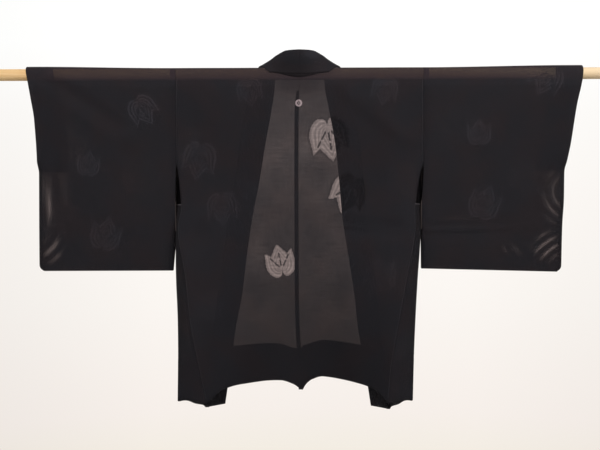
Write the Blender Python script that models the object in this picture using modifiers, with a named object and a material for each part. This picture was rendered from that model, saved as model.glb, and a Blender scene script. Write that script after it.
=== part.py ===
"""A haori jacket of sheer black silk gauze, hung over a round wooden rod with its fronts open.

Units are metres, +Z is up. The origin is on the rod's axis, at the middle of the jacket. X runs along the
rod, the jacket's back faces -Y and its open fronts face +Y. "left" is the -X half, "right" the +X half.

Each piece of cloth is an open surface, laid out as a grid between its own edge lines, and a Solidify
modifier gives it the cloth's wall. Edge lines that two pieces share come from one table or function, and
each piece stops a little short of the line, so neighbours lie a seam's gap apart.
"""

import math
from collections import namedtuple

import bmesh
import bpy
from mathutils import Vector

# The rod
ROD_RADIUS = 0.0135
ROD_HALF_LENGTH = 0.745
ROD_SIDES = 32

# The cloth
CLOTH_WALL = 0.0012
COLLAR_WALL = 0.0020  # the collar band is doubled cloth
GAUZE_BLACK = (0.014, 0.012, 0.013)
GAUZE_ROUGHNESS = 0.7
PALE_WOOD = (0.62, 0.43, 0.26)
WOOD_ROUGHNESS = 0.5
HEM_TURN_UP = 0.0915  # the hem is turned up this deep, so the wall there is doubled
TURN_UP_RISE = 0.12  # by the centre seam its edge stays higher, straighter than the hem's point
SEAM_GAP = 0.0003
CENTRE_GAP = 0.00036  # between the halves at the centre-back seam
SLEEVE_SEAM_INSET = 0.00025  # the body and the sleeve each stop this far short of their seam

# The body
SLEEVE_SEAM_X = 0.288  # half the body's width at the shoulder
ARMHOLE_END_Z = -0.208  # the sleeve is sewn on down to here
GUSSET_TOP_Z = -0.306
NECK_HALF_WIDTH = 0.068
NECK_DROP = 0.011  # the back neck edge sits this far under the rod's axis
CENTRE_HEM_Z = -0.746
SIDE_HEM_Z = -0.748
FRONT_HEM_Z = {"left": -0.801, "right": -0.807}
FRONT_BOW = 0.034  # the slack front panels bow this far out between their edges
GUSSET_BOW = 0.004
BACK_CURL = 1.6  # above 1, the back curls forward most near its side edge

# The grids, as counts of faces
NECK_COLUMNS = 4
SHOULDER_COLUMNS = 7
ARMHOLE_ROWS = 4
SLIT_ROWS = 2  # from the armhole's end to the gusset's top
GUSSET_ROWS = 7  # from there to the turn-up
TURN_UP_ROWS = 2  # the turn-up's edge takes a row of its own above these
FALL_ROWS = ARMHOLE_ROWS + SLIT_ROWS + GUSSET_ROWS + 1 + TURN_UP_ROWS
ROD_ROWS = 10
TURN_UP_EDGE = 0.004  # the share of the fall over which the wall steps up to the turn-up's

# The cloth's middle line over the rod, clear of it also between the grid's corners
DRAPE_RADIUS = (ROD_RADIUS + SEAM_GAP + CLOTH_WALL / 2) / math.cos(math.pi / 2 / ROD_ROWS)
DRAPE_SLACK = 0.0004
CUFF_SLACK = 0.0040  # more of it towards the cuffs, from here outwards
CUFF_SLACK_FROM = 0.30
CUFF_SLACK_OVER = 0.32

SIDES = {"left": -1, "right": 1}

Edge = namedtuple("Edge", "z x y")  # a point of an edge line; x is counted outwards from the centre
Hem = namedtuple("Hem", "across z")  # a point of a hem; across runs from 0 to 1 over the panel
Crease = namedtuple("Crease", "step x y z share lift")  # a point of the collar's crease round the neck

# The centre-back seam; x here is counted to the right on both halves
CENTRE_SEAM = (
    Edge(0.000, -0.001, -0.0148),
    Edge(-0.073, -0.002, -0.0155),
    Edge(-0.166, -0.003, -0.0145),
    Edge(-0.260, -0.0035, -0.011),
    Edge(-0.435, -0.0035, 0.001),
    Edge(-0.517, -0.0035, 0.009),
    Edge(-0.592, -0.0020, 0.017),
    Edge(-0.657, 0.0010, 0.024),
    Edge(-0.746, 0.0050, 0.033),
)

# The side edge of the back, where the gusset is sewn on below GUSSET_TOP_Z
BACK_SIDE = {
    "left": (
        Edge(0.000, 0.288, -0.0148),
        Edge(-0.120, 0.288, -0.0146),
        Edge(-0.208, 0.288, -0.0136),
        Edge(-0.226, 0.283, -0.0138),
        Edge(-0.255, 0.2798, -0.015),
        Edge(-0.306, 0.2752, -0.020),
        Edge(-0.358, 0.2815, -0.032),
        Edge(-0.473, 0.262, -0.052),
        Edge(-0.570, 0.249, -0.068),
        Edge(-0.663, 0.229, -0.082),
        Edge(-0.748, 0.209, -0.091),
    ),
    "right": (
        Edge(0.000, 0.288, -0.0148),
        Edge(-0.120, 0.288, -0.0146),
        Edge(-0.208, 0.288, -0.0136),
        Edge(-0.226, 0.2817, -0.0138),
        Edge(-0.255, 0.2752, -0.015),
        Edge(-0.306, 0.2685, -0.020),
        Edge(-0.358, 0.2665, -0.032),
        Edge(-0.473, 0.244, -0.052),
        Edge(-0.570, 0.223, -0.068),
        Edge(-0.663, 0.204, -0.082),
        Edge(-0.748, 0.194, -0.091),
    ),
}

# The side edge of the front, where the gusset's other edge is sewn on
FRONT_SIDE = {
    "left": (
        Edge(0.000, 0.288, 0.0148),
        Edge(-0.120, 0.288, 0.0146),
        Edge(-0.208, 0.288, 0.0136),
        Edge(-0.225, 0.2876, 0.0118),
        Edge(-0.255, 0.2885, 0.009),
        Edge(-0.306, 0.2905, 0.004),
        Edge(-0.358, 0.2895, -0.001),
        Edge(-0.420, 0.2890, -0.010),
        Edge(-0.473, 0.2870, -0.018),
        Edge(-0.570, 0.2805, -0.034),
        Edge(-0.663, 0.2775, -0.048),
        Edge(-0.748, 0.2765, -0.060),
    ),
    "right": (
        Edge(0.000, 0.288, 0.0148),
        Edge(-0.120, 0.288, 0.0146),
        Edge(-0.208, 0.288, 0.0136),
        Edge(-0.225, 0.2872, 0.0118),
        Edge(-0.255, 0.286, 0.009),
        Edge(-0.306, 0.2837, 0.004),
        Edge(-0.358, 0.2825, -0.001),
        Edge(-0.420, 0.2775, -0.010),
        Edge(-0.473, 0.2720, -0.018),
        Edge(-0.570, 0.2635, -0.034),
        Edge(-0.663, 0.2570, -0.048),
        Edge(-0.748, 0.2525, -0.060),
    ),
}

# The seam of the front edge, where the collar band is sewn on
COLLAR_SEAM = {
    "left": (
        Edge(0.000, 0.103, 0.0150),
        Edge(-0.030, 0.116, 0.0155),
        Edge(-0.068, 0.127, 0.018),
        Edge(-0.163, 0.142, 0.0205),
        Edge(-0.258, 0.1565, 0.025),
        Edge(-0.331, 0.171, 0.031),
        Edge(-0.426, 0.185, 0.041),
        Edge(-0.523, 0.199, 0.051),
        Edge(-0.602, 0.212, 0.060),
        Edge(-0.680, 0.222, 0.069),
        Edge(-0.801, 0.2325, 0.085),
    ),
    "right": (
        Edge(0.000, 0.103, 0.0150),
        Edge(-0.030, 0.113, 0.0155),
        Edge(-0.068, 0.121, 0.018),
        Edge(-0.163, 0.143, 0.0205),
        Edge(-0.258, 0.153, 0.025),
        Edge(-0.331, 0.159, 0.031),
        Edge(-0.426, 0.172, 0.041),
        Edge(-0.523, 0.185, 0.051),
        Edge(-0.602, 0.193, 0.060),
        Edge(-0.680, 0.204, 0.069),
        Edge(-0.807, 0.2185, 0.085),
    ),
}

# The crease along which the collar band is folded outward, down the fronts
COLLAR_CREASE = {
    "left": (
        Edge(0.012, 0.0580, 0.026),
        Edge(-0.030, 0.0602, 0.028),
        Edge(-0.068, 0.0655, 0.027),
        Edge(-0.163, 0.0830, 0.029),
        Edge(-0.258, 0.099, 0.034),
        Edge(-0.331, 0.114, 0.040),
        Edge(-0.426, 0.129, 0.050),
        Edge(-0.523, 0.142, 0.060),
        Edge(-0.602, 0.158, 0.069),
        Edge(-0.680, 0.169, 0.078),
        Edge(-0.795, 0.187, 0.095),
    ),
    "right": (
        Edge(0.012, 0.0580, 0.026),
        Edge(-0.030, 0.0612, 0.028),
        Edge(-0.068, 0.0685, 0.027),
        Edge(-0.163, 0.0855, 0.029),
        Edge(-0.258, 0.0955, 0.034),
        Edge(-0.331, 0.102, 0.040),
        Edge(-0.426, 0.117, 0.050),
        Edge(-0.523, 0.132, 0.060),
        Edge(-0.602, 0.141, 0.069),
        Edge(-0.680, 0.155, 0.078),
        Edge(-0.801, 0.1745, 0.095),
    ),
}

# The crease round the neck: step 0 is the front at the rod's height, 1 the back there, 2 the centre back.
# share is the outer leaf's width over the inner leaf's, and lift how far its free edge stands off.
NECK_CREASE = (
    Crease(0.00, 0.0580, 0.0260, 0.0120, 0.950, 0.0012),
    Crease(0.25, 0.0600, 0.0190, 0.0245, 0.970, 0.0010),
    Crease(0.50, 0.0620, 0.0095, 0.0340, 1.000, 0.0010),
    Crease(0.75, 0.0570, 0.0030, 0.0395, 1.060, 0.0028),
    Crease(1.00, 0.0500, -0.0020, 0.0438, 1.030, 0.0030),
    Crease(1.25, 0.0420, -0.0050, 0.0480, 1.005, 0.0035),
    Crease(1.50, 0.0325, -0.0075, 0.0520, 0.970, 0.0045),
    Crease(1.75, 0.0180, -0.0090, 0.0537, 0.925, 0.0055),
    Crease(2.00, 0.0000, -0.0095, 0.0545, 0.900, 0.0060),
)
FOLD_RADIUS = 0.00125  # of the collar's middle line at its crease
FRONT_LEAF_SHARE = 0.97  # the same two down the fronts
FRONT_LIFT = 0.0006
COLLAR_SEAM_INSET = 0.0006  # more room at the seam, where the band and the panel meet at an angle
COLLAR_ROD_RISE = 0.0008  # the band's seam passes this much higher over the rod than the panel
NECK_STAND_OFF = 0.0006  # the inner leaf stands clear of the rod at the back of the neck
NECK_BULGE = 0.0045  # and this much further out half way up
LEAF_COLUMNS = 4
CREASE_COLUMNS = 4
NECK_STATIONS = 16

# The hems, each from the first-named edge to the last
BACK_HEM = {  # from the centre seam to the side
    "left": (
        Hem(0.00, -0.746),
        Hem(0.04, -0.741),
        Hem(0.10, -0.732),
        Hem(0.25, -0.720),
        Hem(0.45, -0.717),
        Hem(0.68, -0.7165),
        Hem(0.82, -0.721),
        Hem(0.94, -0.737),
        Hem(1.00, -0.748),
    ),
    "right": (
        Hem(0.00, -0.746),
        Hem(0.04, -0.733),
        Hem(0.12, -0.720),
        Hem(0.26, -0.711),
        Hem(0.50, -0.712),
        Hem(0.72, -0.716),
        Hem(0.86, -0.724),
        Hem(0.95, -0.737),
        Hem(1.00, -0.748),
    ),
}
GUSSET_HEM = (  # from the back's side edge to the front's
    Hem(0.00, -0.748),
    Hem(0.30, -0.744),
    Hem(0.70, -0.743),
    Hem(1.00, -0.748),
)

# The sleeves: x is the outer edge, from the top of the cuff down to the rounded corner
SLEEVE_OUTER = {
    "left": (
        Edge(0.015, 0.6365, 0),
        Edge(-0.056, 0.6235, 0),
        Edge(-0.108, 0.6150, 0),
        Edge(-0.211, 0.6095, 0),
        Edge(-0.330, 0.6095, 0),
        Edge(-0.458, 0.6090, 0),
    ),
    "right": (
        Edge(0.018, 0.659, 0),
        Edge(-0.009, 0.657, 0),
        Edge(-0.075, 0.6430, 0),
        Edge(-0.164, 0.6285, 0),
        Edge(-0.222, 0.6185, 0),
        Edge(-0.295, 0.6170, 0),
        Edge(-0.355, 0.6130, 0),
        Edge(-0.461, 0.6100, 0),
    ),
}
SLEEVE_INNER = {  # the inner edge is open below the armhole
    "left": (
        Edge(0.000, 0.288, 0),
        Edge(-0.208, 0.288, 0),
        Edge(-0.260, 0.2895, 0),
        Edge(-0.370, 0.291, 0),
        Edge(-0.458, 0.297, 0),
    ),
    "right": (
        Edge(0.000, 0.288, 0),
        Edge(-0.208, 0.288, 0),
        Edge(-0.235, 0.2878, 0),
        Edge(-0.300, 0.2845, 0),
        Edge(-0.370, 0.2838, 0),
        Edge(-0.453, 0.2838, 0),
    ),
}
Bottom = namedtuple("Bottom", "inner outer")  # the heights of its two ends
SLEEVE_BOTTOM = {"left": Bottom(-0.4585, -0.4585), "right": Bottom(-0.4555, -0.4640)}
SLEEVE_CORNER = 0.015  # the rounded outer corner
WRIST_END_Z = -0.213  # the outer edge is sewn up from the bottom to here
SLEEVE_FOOT_Z = -0.400  # the rows are closer together below here
SLEEVE_HALF_DEPTH = (  # y is how far each layer hangs from the rod's plane
    Edge(0.000, 0, 0.0148),
    Edge(-0.120, 0, 0.0146),
    Edge(-0.208, 0, 0.0136),
    Edge(-0.300, 0, 0.0110),
    Edge(-0.400, 0, 0.0075),
    Edge(-0.461, 0, 0.0042),
)
SLEEVE_COLUMNS = 12
SLEEVE_LAYER_ROWS = (ARMHOLE_ROWS, 1, 5, 2, 1)  # between the heights that the rows fall on
SLEEVE_ROWS = sum(SLEEVE_LAYER_ROWS)
BOTTOM_ROWS = 3
CORNER_ROW_SHARES = (0.9, 0.35)  # the last two of those heights, as shares of the corner's radius

# Soft folds: a trough or ridge along a line from (x1, z1) to (x2, z2), with its half width and height
Fold = namedtuple("Fold", "x1 z1 x2 z2 half_width height")
FOLD_FADE = 1.6
SLEEVE_FOLDS = {
    "left": (
        Fold(0.548, -0.010, 0.384, -0.105, 0.030, 0.0035),
        Fold(0.520, -0.230, 0.400, -0.330, 0.050, 0.0025),
        Fold(0.590, -0.150, 0.560, -0.430, 0.030, -0.0020),
    ),
    "right": (
        Fold(0.288, -0.366, 0.470, -0.362, 0.022, -0.0025),
        Fold(0.560, -0.030, 0.440, -0.140, 0.040, 0.0025),
        Fold(0.585, -0.180, 0.500, -0.380, 0.040, 0.0025),
    ),
}
BODY_FOLDS = {
    "left": (
        Fold(0.050, -0.500, 0.047, -0.650, 0.022, -0.004),
        Fold(0.190, -0.060, 0.235, -0.330, 0.040, 0.005),
        Fold(0.120, -0.300, 0.140, -0.700, 0.040, 0.006),
        Fold(0.230, -0.380, 0.190, -0.640, 0.025, -0.004),
    ),
    "right": (
        Fold(0.086, -0.356, 0.270, -0.370, 0.020, -0.004),
        Fold(0.200, -0.060, 0.230, -0.300, 0.040, 0.005),
        Fold(0.110, -0.420, 0.125, -0.700, 0.038, 0.006),
        Fold(0.055, -0.150, 0.070, -0.500, 0.030, 0.003),
    ),
}


def lerp(a, b, share):
    return a + (b - a) * share


def smooth(share):
    """0 to 1 with level ends."""
    share = min(max(share, 0.0), 1.0)
    return share * share * (3 - 2 * share)


def read(rows, at, column):
    """The named column of a table at this value of its first column, on a smooth curve through its rows."""
    keys = [row[0] for row in rows]
    values = [getattr(row, column) for row in rows]
    if keys[0] > keys[-1]:
        keys, values = keys[::-1], values[::-1]
    at = min(max(at, keys[0]), keys[-1])
    i = max(k for k in range(len(keys) - 1) if keys[k] <= at)
    slopes = [(values[k + 1] - values[k]) / (keys[k + 1] - keys[k]) for k in range(len(keys) - 1)]
    width = keys[i + 1] - keys[i]
    share = (at - keys[i]) / width
    # a slope of nothing where the curve turns keeps it from overshooting its rows
    before = slopes[i - 1] if i else slopes[i]
    after = slopes[i + 1] if i + 1 < len(slopes) else slopes[i]
    start = 2 * before * slopes[i] / (before + slopes[i]) if before * slopes[i] > 0 else 0.0
    end = 2 * after * slopes[i] / (after + slopes[i]) if after * slopes[i] > 0 else 0.0
    return (
        values[i] * (1 + 2 * share) * (1 - share) ** 2
        + values[i + 1] * share**2 * (3 - 2 * share)
        + width * share * (1 - share) * (start * (1 - share) - end * share)
    )


def fold_height(folds, x, z):
    """How far the soft folds of this table lift a layer at (x, z). Each fades out beyond its half width."""
    lift = 0.0
    for fold in folds:
        run = Vector((fold.x2 - fold.x1, fold.z2 - fold.z1))
        offset = Vector((x - fold.x1, z - fold.z1))
        along = offset.dot(run) / run.length_squared
        away = (offset - run * min(max(along, 0.0), 1.0)).length
        lift += fold.height * smooth(1 - away / (fold.half_width * FOLD_FADE))
    return lift


def top_rise(x):
    """The height of the cloth's middle line over the rod's axis: it stands a little slack at the cuffs."""
    return DRAPE_RADIUS + DRAPE_SLACK + CUFF_SLACK * smooth((abs(x) - CUFF_SLACK_FROM) / CUFF_SLACK_OVER)


# ---- The back, the front and the arc over the rod, for one side ----


def centre_point(f):
    """On the centre-back seam; f is 0 at the neck and 1 at the hem."""
    z = lerp(-NECK_DROP, CENTRE_HEM_Z, f)
    return Vector((read(CENTRE_SEAM, z, "x"), read(CENTRE_SEAM, z, "y"), z))


def side_point(table, side, f, hem=SIDE_HEM_Z):
    z = hem * f
    return Vector((SIDES[side] * read(table[side], z, "x"), read(table[side], z, "y"), z))


def neck_share():
    return NECK_HALF_WIDTH / SLEEVE_SEAM_X


def back_point(side, across, f):
    """On the back's middle line; across is 0 at the centre seam and 1 at the side edge."""
    centre, edge = centre_point(f), side_point(BACK_SIDE, side, f)
    neck = NECK_DROP * (1 - smooth(across / neck_share())) if across < neck_share() else 0.0
    x = lerp(centre.x, edge.x, across)
    z = lerp(-neck, read(BACK_HEM[side], across, "z"), f)
    z += TURN_UP_RISE * f**4 * (1 - f) * smooth(1 - across / 0.12)
    y = lerp(centre.y, edge.y, across**BACK_CURL)
    inside = smooth(min(across, 1 - across) / 0.14) * smooth(f / 0.1)
    return Vector((x, y - inside * fold_height(BODY_FOLDS[side], abs(x), z), z))


def front_point(side, across, f):
    """On the front's middle line; across is 0 at the collar seam and 1 at the side edge."""
    seam = side_point(COLLAR_SEAM, side, f, FRONT_HEM_Z[side])
    edge = side_point(FRONT_SIDE, side, f)
    point = seam.lerp(edge, across)
    slack = FRONT_BOW * smooth((f - 0.18) / 0.36) * lerp(1.0, 0.55, smooth((f - 0.5) / 0.5))
    wave = math.sin(math.pi * across) + 0.35 * math.sin(3 * math.pi * across + 0.6) * smooth(f / 0.6)
    point.y += slack * wave * smooth(min(across, 1 - across) / 0.12)
    return point


def rod_point(side, across, turn):
    """Over the rod; turn is 0 where the front leaves it and 1 where the back does."""
    start, end = front_point(side, across, 0.0), back_point(side, lerp(neck_share(), 1.0, across), 0.0)
    x = lerp(start.x, end.x, turn**1.5)
    angle = math.pi * turn
    y = lerp(start.y, end.y, (1 - math.cos(angle)) / 2)
    return Vector((x, y, top_rise(x) * math.sin(angle)))


def fall_steps():
    """The rows' places down a panel: a line falls on the armhole's end, the gusset's top and the turn-up."""
    turn_up = 1 + HEM_TURN_UP / SIDE_HEM_Z
    stops = (
        0.0,
        ARMHOLE_END_Z / SIDE_HEM_Z,
        GUSSET_TOP_Z / SIDE_HEM_Z,
        turn_up - TURN_UP_EDGE,
        turn_up,
        1.0,
    )
    counts = (ARMHOLE_ROWS, SLIT_ROWS, GUSSET_ROWS, 1, TURN_UP_ROWS)
    steps = [lerp(a, b, i / n) for a, b, n in zip(stops, stops[1:], counts) for i in range(n)]
    return steps + [1.0]


def seam_inset(f):
    """How far a panel stops short of a seam where its neighbour turns a corner."""
    half_wall = CLOTH_WALL if f > 1 + HEM_TURN_UP / SIDE_HEM_Z - 2 * TURN_UP_EDGE else CLOTH_WALL / 2
    return half_wall + SEAM_GAP


def drawn_in(edge, inner, distance):
    """The edge point, moved this far towards the next point inside the panel."""
    return edge + (inner - edge).normalized() * distance


# ---- Making a wall of cloth from a grid ----


def cloth(name, place, columns, rows, wall, material, doubled=None, left_out=None, closed=False):
    """A grid of columns by rows faces, each corner put at place(column, row), then given its wall.

    doubled(column, row) says where the cloth is double. left_out(column, row) says which faces are cut
    away. closed joins the last row to the first.
    """
    mesh = bpy.data.meshes.new(name)
    shape = bmesh.new()
    layer = shape.verts.layers.deform.verify()
    bmesh.ops.create_grid(shape, x_segments=columns, y_segments=rows, size=0.5)
    spots = {v: (round((v.co.x + 0.5) * columns), round((v.co.y + 0.5) * rows)) for v in shape.verts}
    if left_out:
        unwanted = [
            face
            for face in shape.faces
            if left_out(min(spots[v][0] for v in face.verts), min(spots[v][1] for v in face.verts))
        ]
        bmesh.ops.delete(shape, geom=unwanted, context="FACES")
    for v in shape.verts:
        column, row = spots[v]
        v[layer][0] = 1.0 if doubled and doubled(column, row) else 0.0
        v.co = place(column, row)
    if closed:
        bmesh.ops.remove_doubles(shape, verts=shape.verts, dist=1e-6)
    bmesh.ops.recalc_face_normals(shape, faces=shape.faces)
    shape.to_mesh(mesh)
    shape.free()
    mesh.shade_smooth()
    mesh.materials.append(material)
    piece = bpy.data.objects.new(name, mesh)
    garment.objects.link(piece)
    piece.vertex_groups.new(name="doubled")
    solidify = piece.modifiers.new("wall", "SOLIDIFY")
    solidify.offset = 0
    solidify.use_even_offset = True
    if doubled:
        solidify.vertex_group = "doubled"
        solidify.thickness_vertex_group = 0.5
        solidify.thickness = 2 * wall
    else:
        solidify.thickness = wall
    return piece


def plain(name, colour, roughness):
    """A material of one linear colour."""
    material = bpy.data.materials.new(name)
    material.use_nodes = True
    surface = material.node_tree.nodes["Principled BSDF"]
    surface.inputs["Base Color"].default_value = (*colour, 1)
    surface.inputs["Roughness"].default_value = roughness
    surface.inputs["Metallic"].default_value = 0
    return material


# ---- The pieces ----


def body_panel(side, material):
    """Back hem up to the shoulder, over the rod and down to the front hem, in one length."""
    falls = fall_steps()
    columns = NECK_COLUMNS + SHOULDER_COLUMNS
    over_rod, front_start = FALL_ROWS, FALL_ROWS + ROD_ROWS
    rows = front_start + FALL_ROWS

    def middle(column, row):
        beyond_neck = max(column - NECK_COLUMNS, 0) / SHOULDER_COLUMNS
        if row <= over_rod:
            if column <= NECK_COLUMNS:
                across = lerp(0, neck_share(), column / NECK_COLUMNS)
            else:
                across = lerp(neck_share(), 1, beyond_neck)
            return back_point(side, across, falls[FALL_ROWS - row])
        if row < front_start:
            return rod_point(side, beyond_neck, 1 - (row - over_rod) / ROD_ROWS)
        return front_point(side, beyond_neck, falls[row - front_start])

    def place(column, row):
        point = middle(column, row)
        if column == 0 and row <= over_rod:
            point.x += SIDES[side] * CENTRE_GAP / 2
        if column == columns:
            f = falls[FALL_ROWS - row] if row <= over_rod else falls[max(row - front_start, 0)]
            below_armhole = smooth((f * SIDE_HEM_Z - ARMHOLE_END_Z) / -0.05)
            inset = lerp(SLEEVE_SEAM_INSET, seam_inset(f), below_armhole)
            point = drawn_in(point, middle(column - 1, row), inset)
        return point

    def doubled(column, row):
        return row <= TURN_UP_ROWS or row >= rows - TURN_UP_ROWS

    def left_out(column, row):
        return column < NECK_COLUMNS and row >= over_rod

    return cloth("body_" + side, place, columns, rows, CLOTH_WALL, material, doubled, left_out)


def gusset(side, material):
    """A wedge from the armhole's foot to the hem, between the back's side edge and the front's."""
    falls = fall_steps()[ARMHOLE_ROWS + SLIT_ROWS :]
    columns, rows = 4, len(falls) - 1

    def place(column, row):
        f = falls[row]
        back, front = side_point(BACK_SIDE, side, f), side_point(FRONT_SIDE, side, f)
        across = column / columns
        inset = seam_inset(f) / (front - back).length
        point = back.lerp(front, lerp(inset, 1 - inset, across))
        below_arm = smooth((f - falls[0]) / 0.2)
        outward = Vector((SIDES[side], 0, 0))
        point += outward * GUSSET_BOW * below_arm * math.sin(math.pi * across)
        point.z += (read(GUSSET_HEM, across, "z") - SIDE_HEM_Z) * f**4
        return point

    def doubled(column, row):
        return row >= rows - TURN_UP_ROWS

    return cloth("gusset_" + side, place, columns, rows, CLOTH_WALL, material, doubled)


def sleeve(side, material):
    """A length folded over the rod: its loop runs down the back layer, round the bottom and up the front."""
    sign = SIDES[side]
    rows = 2 * SLEEVE_ROWS + BOTTOM_ROWS + ROD_ROWS
    stops = (0.0, ARMHOLE_END_Z, WRIST_END_Z, SLEEVE_FOOT_Z)

    def depths(bottom):
        """The heights of the rows down a layer, with rows close together at the rounded corner."""
        marks = (*stops, *(bottom + SLEEVE_CORNER * share for share in CORNER_ROW_SHARES))
        levels = [
            lerp(a, b, i / n) for a, b, n in zip(marks, marks[1:], SLEEVE_LAYER_ROWS) for i in range(n)
        ]
        return levels + [marks[-1]]

    def outer_x(z, bottom):
        x = read(SLEEVE_OUTER[side], z, "x")
        up = min((z - bottom) / SLEEVE_CORNER, 1.0)
        return x - SLEEVE_CORNER * (1 - math.sqrt(max(1 - (1 - up) ** 2, 0.0)))

    def layer_point(share, level, facing):
        bottom = lerp(SLEEVE_BOTTOM[side].inner, SLEEVE_BOTTOM[side].outer, share)
        z = depths(bottom)[level]
        inner = read(SLEEVE_INNER[side], z, "x") + SLEEVE_SEAM_INSET
        x = lerp(inner, outer_x(z, bottom), share)
        y = read(SLEEVE_HALF_DEPTH, z, "y")
        inside = smooth(min(share, 1 - share) / 0.12) * smooth(-z / 0.03)
        y += inside * fold_height(SLEEVE_FOLDS[side], x, z) * smooth((z - bottom) / 0.06)
        return Vector((sign * x, facing * y, z))

    def place(column, row):
        share = column / SLEEVE_COLUMNS
        row %= rows
        if row <= SLEEVE_ROWS:
            return layer_point(share, row, -1)
        turn = (row - SLEEVE_ROWS) / BOTTOM_ROWS
        if turn < 1:
            start, end = layer_point(share, SLEEVE_ROWS, -1), layer_point(share, SLEEVE_ROWS, 1)
            point = start.lerp(end, (1 - math.cos(math.pi * turn)) / 2)
            point.z -= SLEEVE_CORNER * CORNER_ROW_SHARES[-1] * math.sin(math.pi * turn)
            return point
        level = rows - ROD_ROWS - row
        if level >= 0:
            return layer_point(share, level, 1)
        turn = (row - (rows - ROD_ROWS)) / ROD_ROWS
        start, end = layer_point(share, 0, 1), layer_point(share, 0, -1)
        point = start.lerp(end, (1 - math.cos(math.pi * turn)) / 2)
        top_x = lerp(SLEEVE_SEAM_X + SLEEVE_SEAM_INSET, SLEEVE_OUTER[side][0].x, share)
        point.x = sign * lerp(abs(point.x), top_x, math.sin(math.pi * turn))
        point.z = top_rise(point.x) * math.sin(math.pi * turn)
        return point

    piece = cloth("sleeve_" + side, place, SLEEVE_COLUMNS, rows, CLOTH_WALL, material, closed=True)
    sew_outer_edge(piece, sign)
    return piece


def sew_outer_edge(piece, sign):
    """Closes the sleeve's outer end below the wrist opening, with a narrow strip across its two edges."""
    shape = bmesh.new()
    shape.from_mesh(piece.data)
    rim = {
        v
        for e in shape.edges
        if e.is_boundary and min(v.co.x * sign for v in e.verts) > SLEEVE_SEAM_X + SLEEVE_CORNER
        for v in e.verts
    }
    sewn = sorted((v for v in rim if v.co.z < WRIST_END_Z + 1e-5), key=lambda v: -v.co.z)
    back = [v for v in sewn if v.co.y < -1e-5]
    front = [v for v in sewn if v.co.y > 1e-5]
    for upper, lower, upper_front, lower_front in zip(back, back[1:], front, front[1:]):
        shape.faces.new((upper, lower, lower_front, upper_front))
    bmesh.ops.recalc_face_normals(shape, faces=shape.faces)
    for face in shape.faces:
        face.smooth = True
    shape.to_mesh(piece.data)
    shape.free()


def collar_half(side, material):
    """A doubled band sewn to the neck and the front edge, and folded outward along its length."""
    sign = SIDES[side]
    front_steps = [f for f in fall_steps() if f > 0.0][::-1]
    neck_steps = [2 * i / NECK_STATIONS for i in range(NECK_STATIONS + 1)]
    stations = [("front", f) for f in front_steps] + [("neck", s) for s in neck_steps]
    columns = 2 * LEAF_COLUMNS + CREASE_COLUMNS

    def seam_point(place, at):
        if place == "front":
            return side_point(COLLAR_SEAM, side, at, FRONT_HEM_Z[side])
        if at <= 1.0:
            point = rod_point(side, 0.0, at)
            point.z += COLLAR_ROD_RISE * math.sin(math.pi * at)
            return point
        return back_point(side, lerp(neck_share(), 0.0, at - 1.0), 0.0)

    def crease_point(place, at):
        if place == "front":
            rows = COLLAR_CREASE[side]
            z = rows[-1].z * at
            return Vector((sign * read(rows, z, "x"), read(rows, z, "y"), z))
        x, y, z = (read(NECK_CREASE, at, column) for column in ("x", "y", "z"))
        return Vector((sign * x, y, z))

    seams = [seam_point(*station) for station in stations]
    creases = [crease_point(*station) for station in stations]
    middles = [(a + b) / 2 for a, b in zip(seams, creases)]
    last = len(stations) - 1
    outward = []
    for i in range(last + 1):
        along = middles[min(i + 1, last)] - middles[max(i - 1, 0)]
        across = creases[i] - seams[i]
        outward.append(along.cross(across).normalized() * -sign)
    outward[last] = Vector((0, outward[last].y, outward[last].z)).normalized()

    def place(column, row):
        kind, at = stations[row]
        seam, crease, out = seams[row], creases[row], outward[row]
        across = (crease - seam).normalized()
        round_neck = 1.0 if kind == "neck" else 1 - smooth(at / 0.12)
        step = at if kind == "neck" else 0.0
        lift = lerp(FRONT_LIFT, read(NECK_CREASE, step, "lift"), round_neck)
        share = lerp(FRONT_LEAF_SHARE, read(NECK_CREASE, step, "share"), round_neck)
        width = (crease - seam).length
        start = SEAM_GAP + COLLAR_SEAM_INSET
        behind_neck = smooth((at - 0.6) / 0.5) if kind == "neck" else 0.0
        if column <= LEAF_COLUMNS:
            share_in = column / LEAF_COLUMNS
            point = seam + across * lerp(start, width - FOLD_RADIUS, share_in)
            point += out * behind_neck * (NECK_STAND_OFF + NECK_BULGE * math.sin(math.pi * share_in))
        elif column < LEAF_COLUMNS + CREASE_COLUMNS:
            angle = math.pi * (column - LEAF_COLUMNS) / CREASE_COLUMNS
            reach = width - FOLD_RADIUS + FOLD_RADIUS * math.sin(angle)
            point = seam + across * reach + out * FOLD_RADIUS * (1 - math.cos(angle))
        else:
            back_along = (column - LEAF_COLUMNS - CREASE_COLUMNS) / LEAF_COLUMNS
            reach = lerp(width - FOLD_RADIUS, width * (1 - share), back_along)
            point = seam + across * reach + out * (2 * FOLD_RADIUS + lift * back_along**1.5)
        if row == last:
            point.x = sign * SEAM_GAP
        return point

    return cloth("collar_" + side, place, columns, last, COLLAR_WALL, material)


def round_rod(material):
    """A plain planed pole with flat ends."""
    mesh = bpy.data.meshes.new("rod")
    shape = bmesh.new()
    bmesh.ops.create_cone(
        shape,
        cap_ends=True,
        segments=ROD_SIDES,
        radius1=ROD_RADIUS,
        radius2=ROD_RADIUS,
        depth=2 * ROD_HALF_LENGTH,
    )
    for v in shape.verts:
        v.co = Vector((v.co.z, v.co.y, -v.co.x))
    shape.to_mesh(mesh)
    shape.free()
    mesh.shade_smooth()
    mesh.set_sharp_from_angle(angle=math.radians(40))
    mesh.materials.append(material)
    pole = bpy.data.objects.new("rod", mesh)
    garment.objects.link(pole)
    return pole


for old in list(bpy.data.objects):
    bpy.data.objects.remove(old, do_unlink=True)
garment = bpy.data.collections.new("haori_jacket")
bpy.context.scene.collection.children.link(garment)

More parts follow.
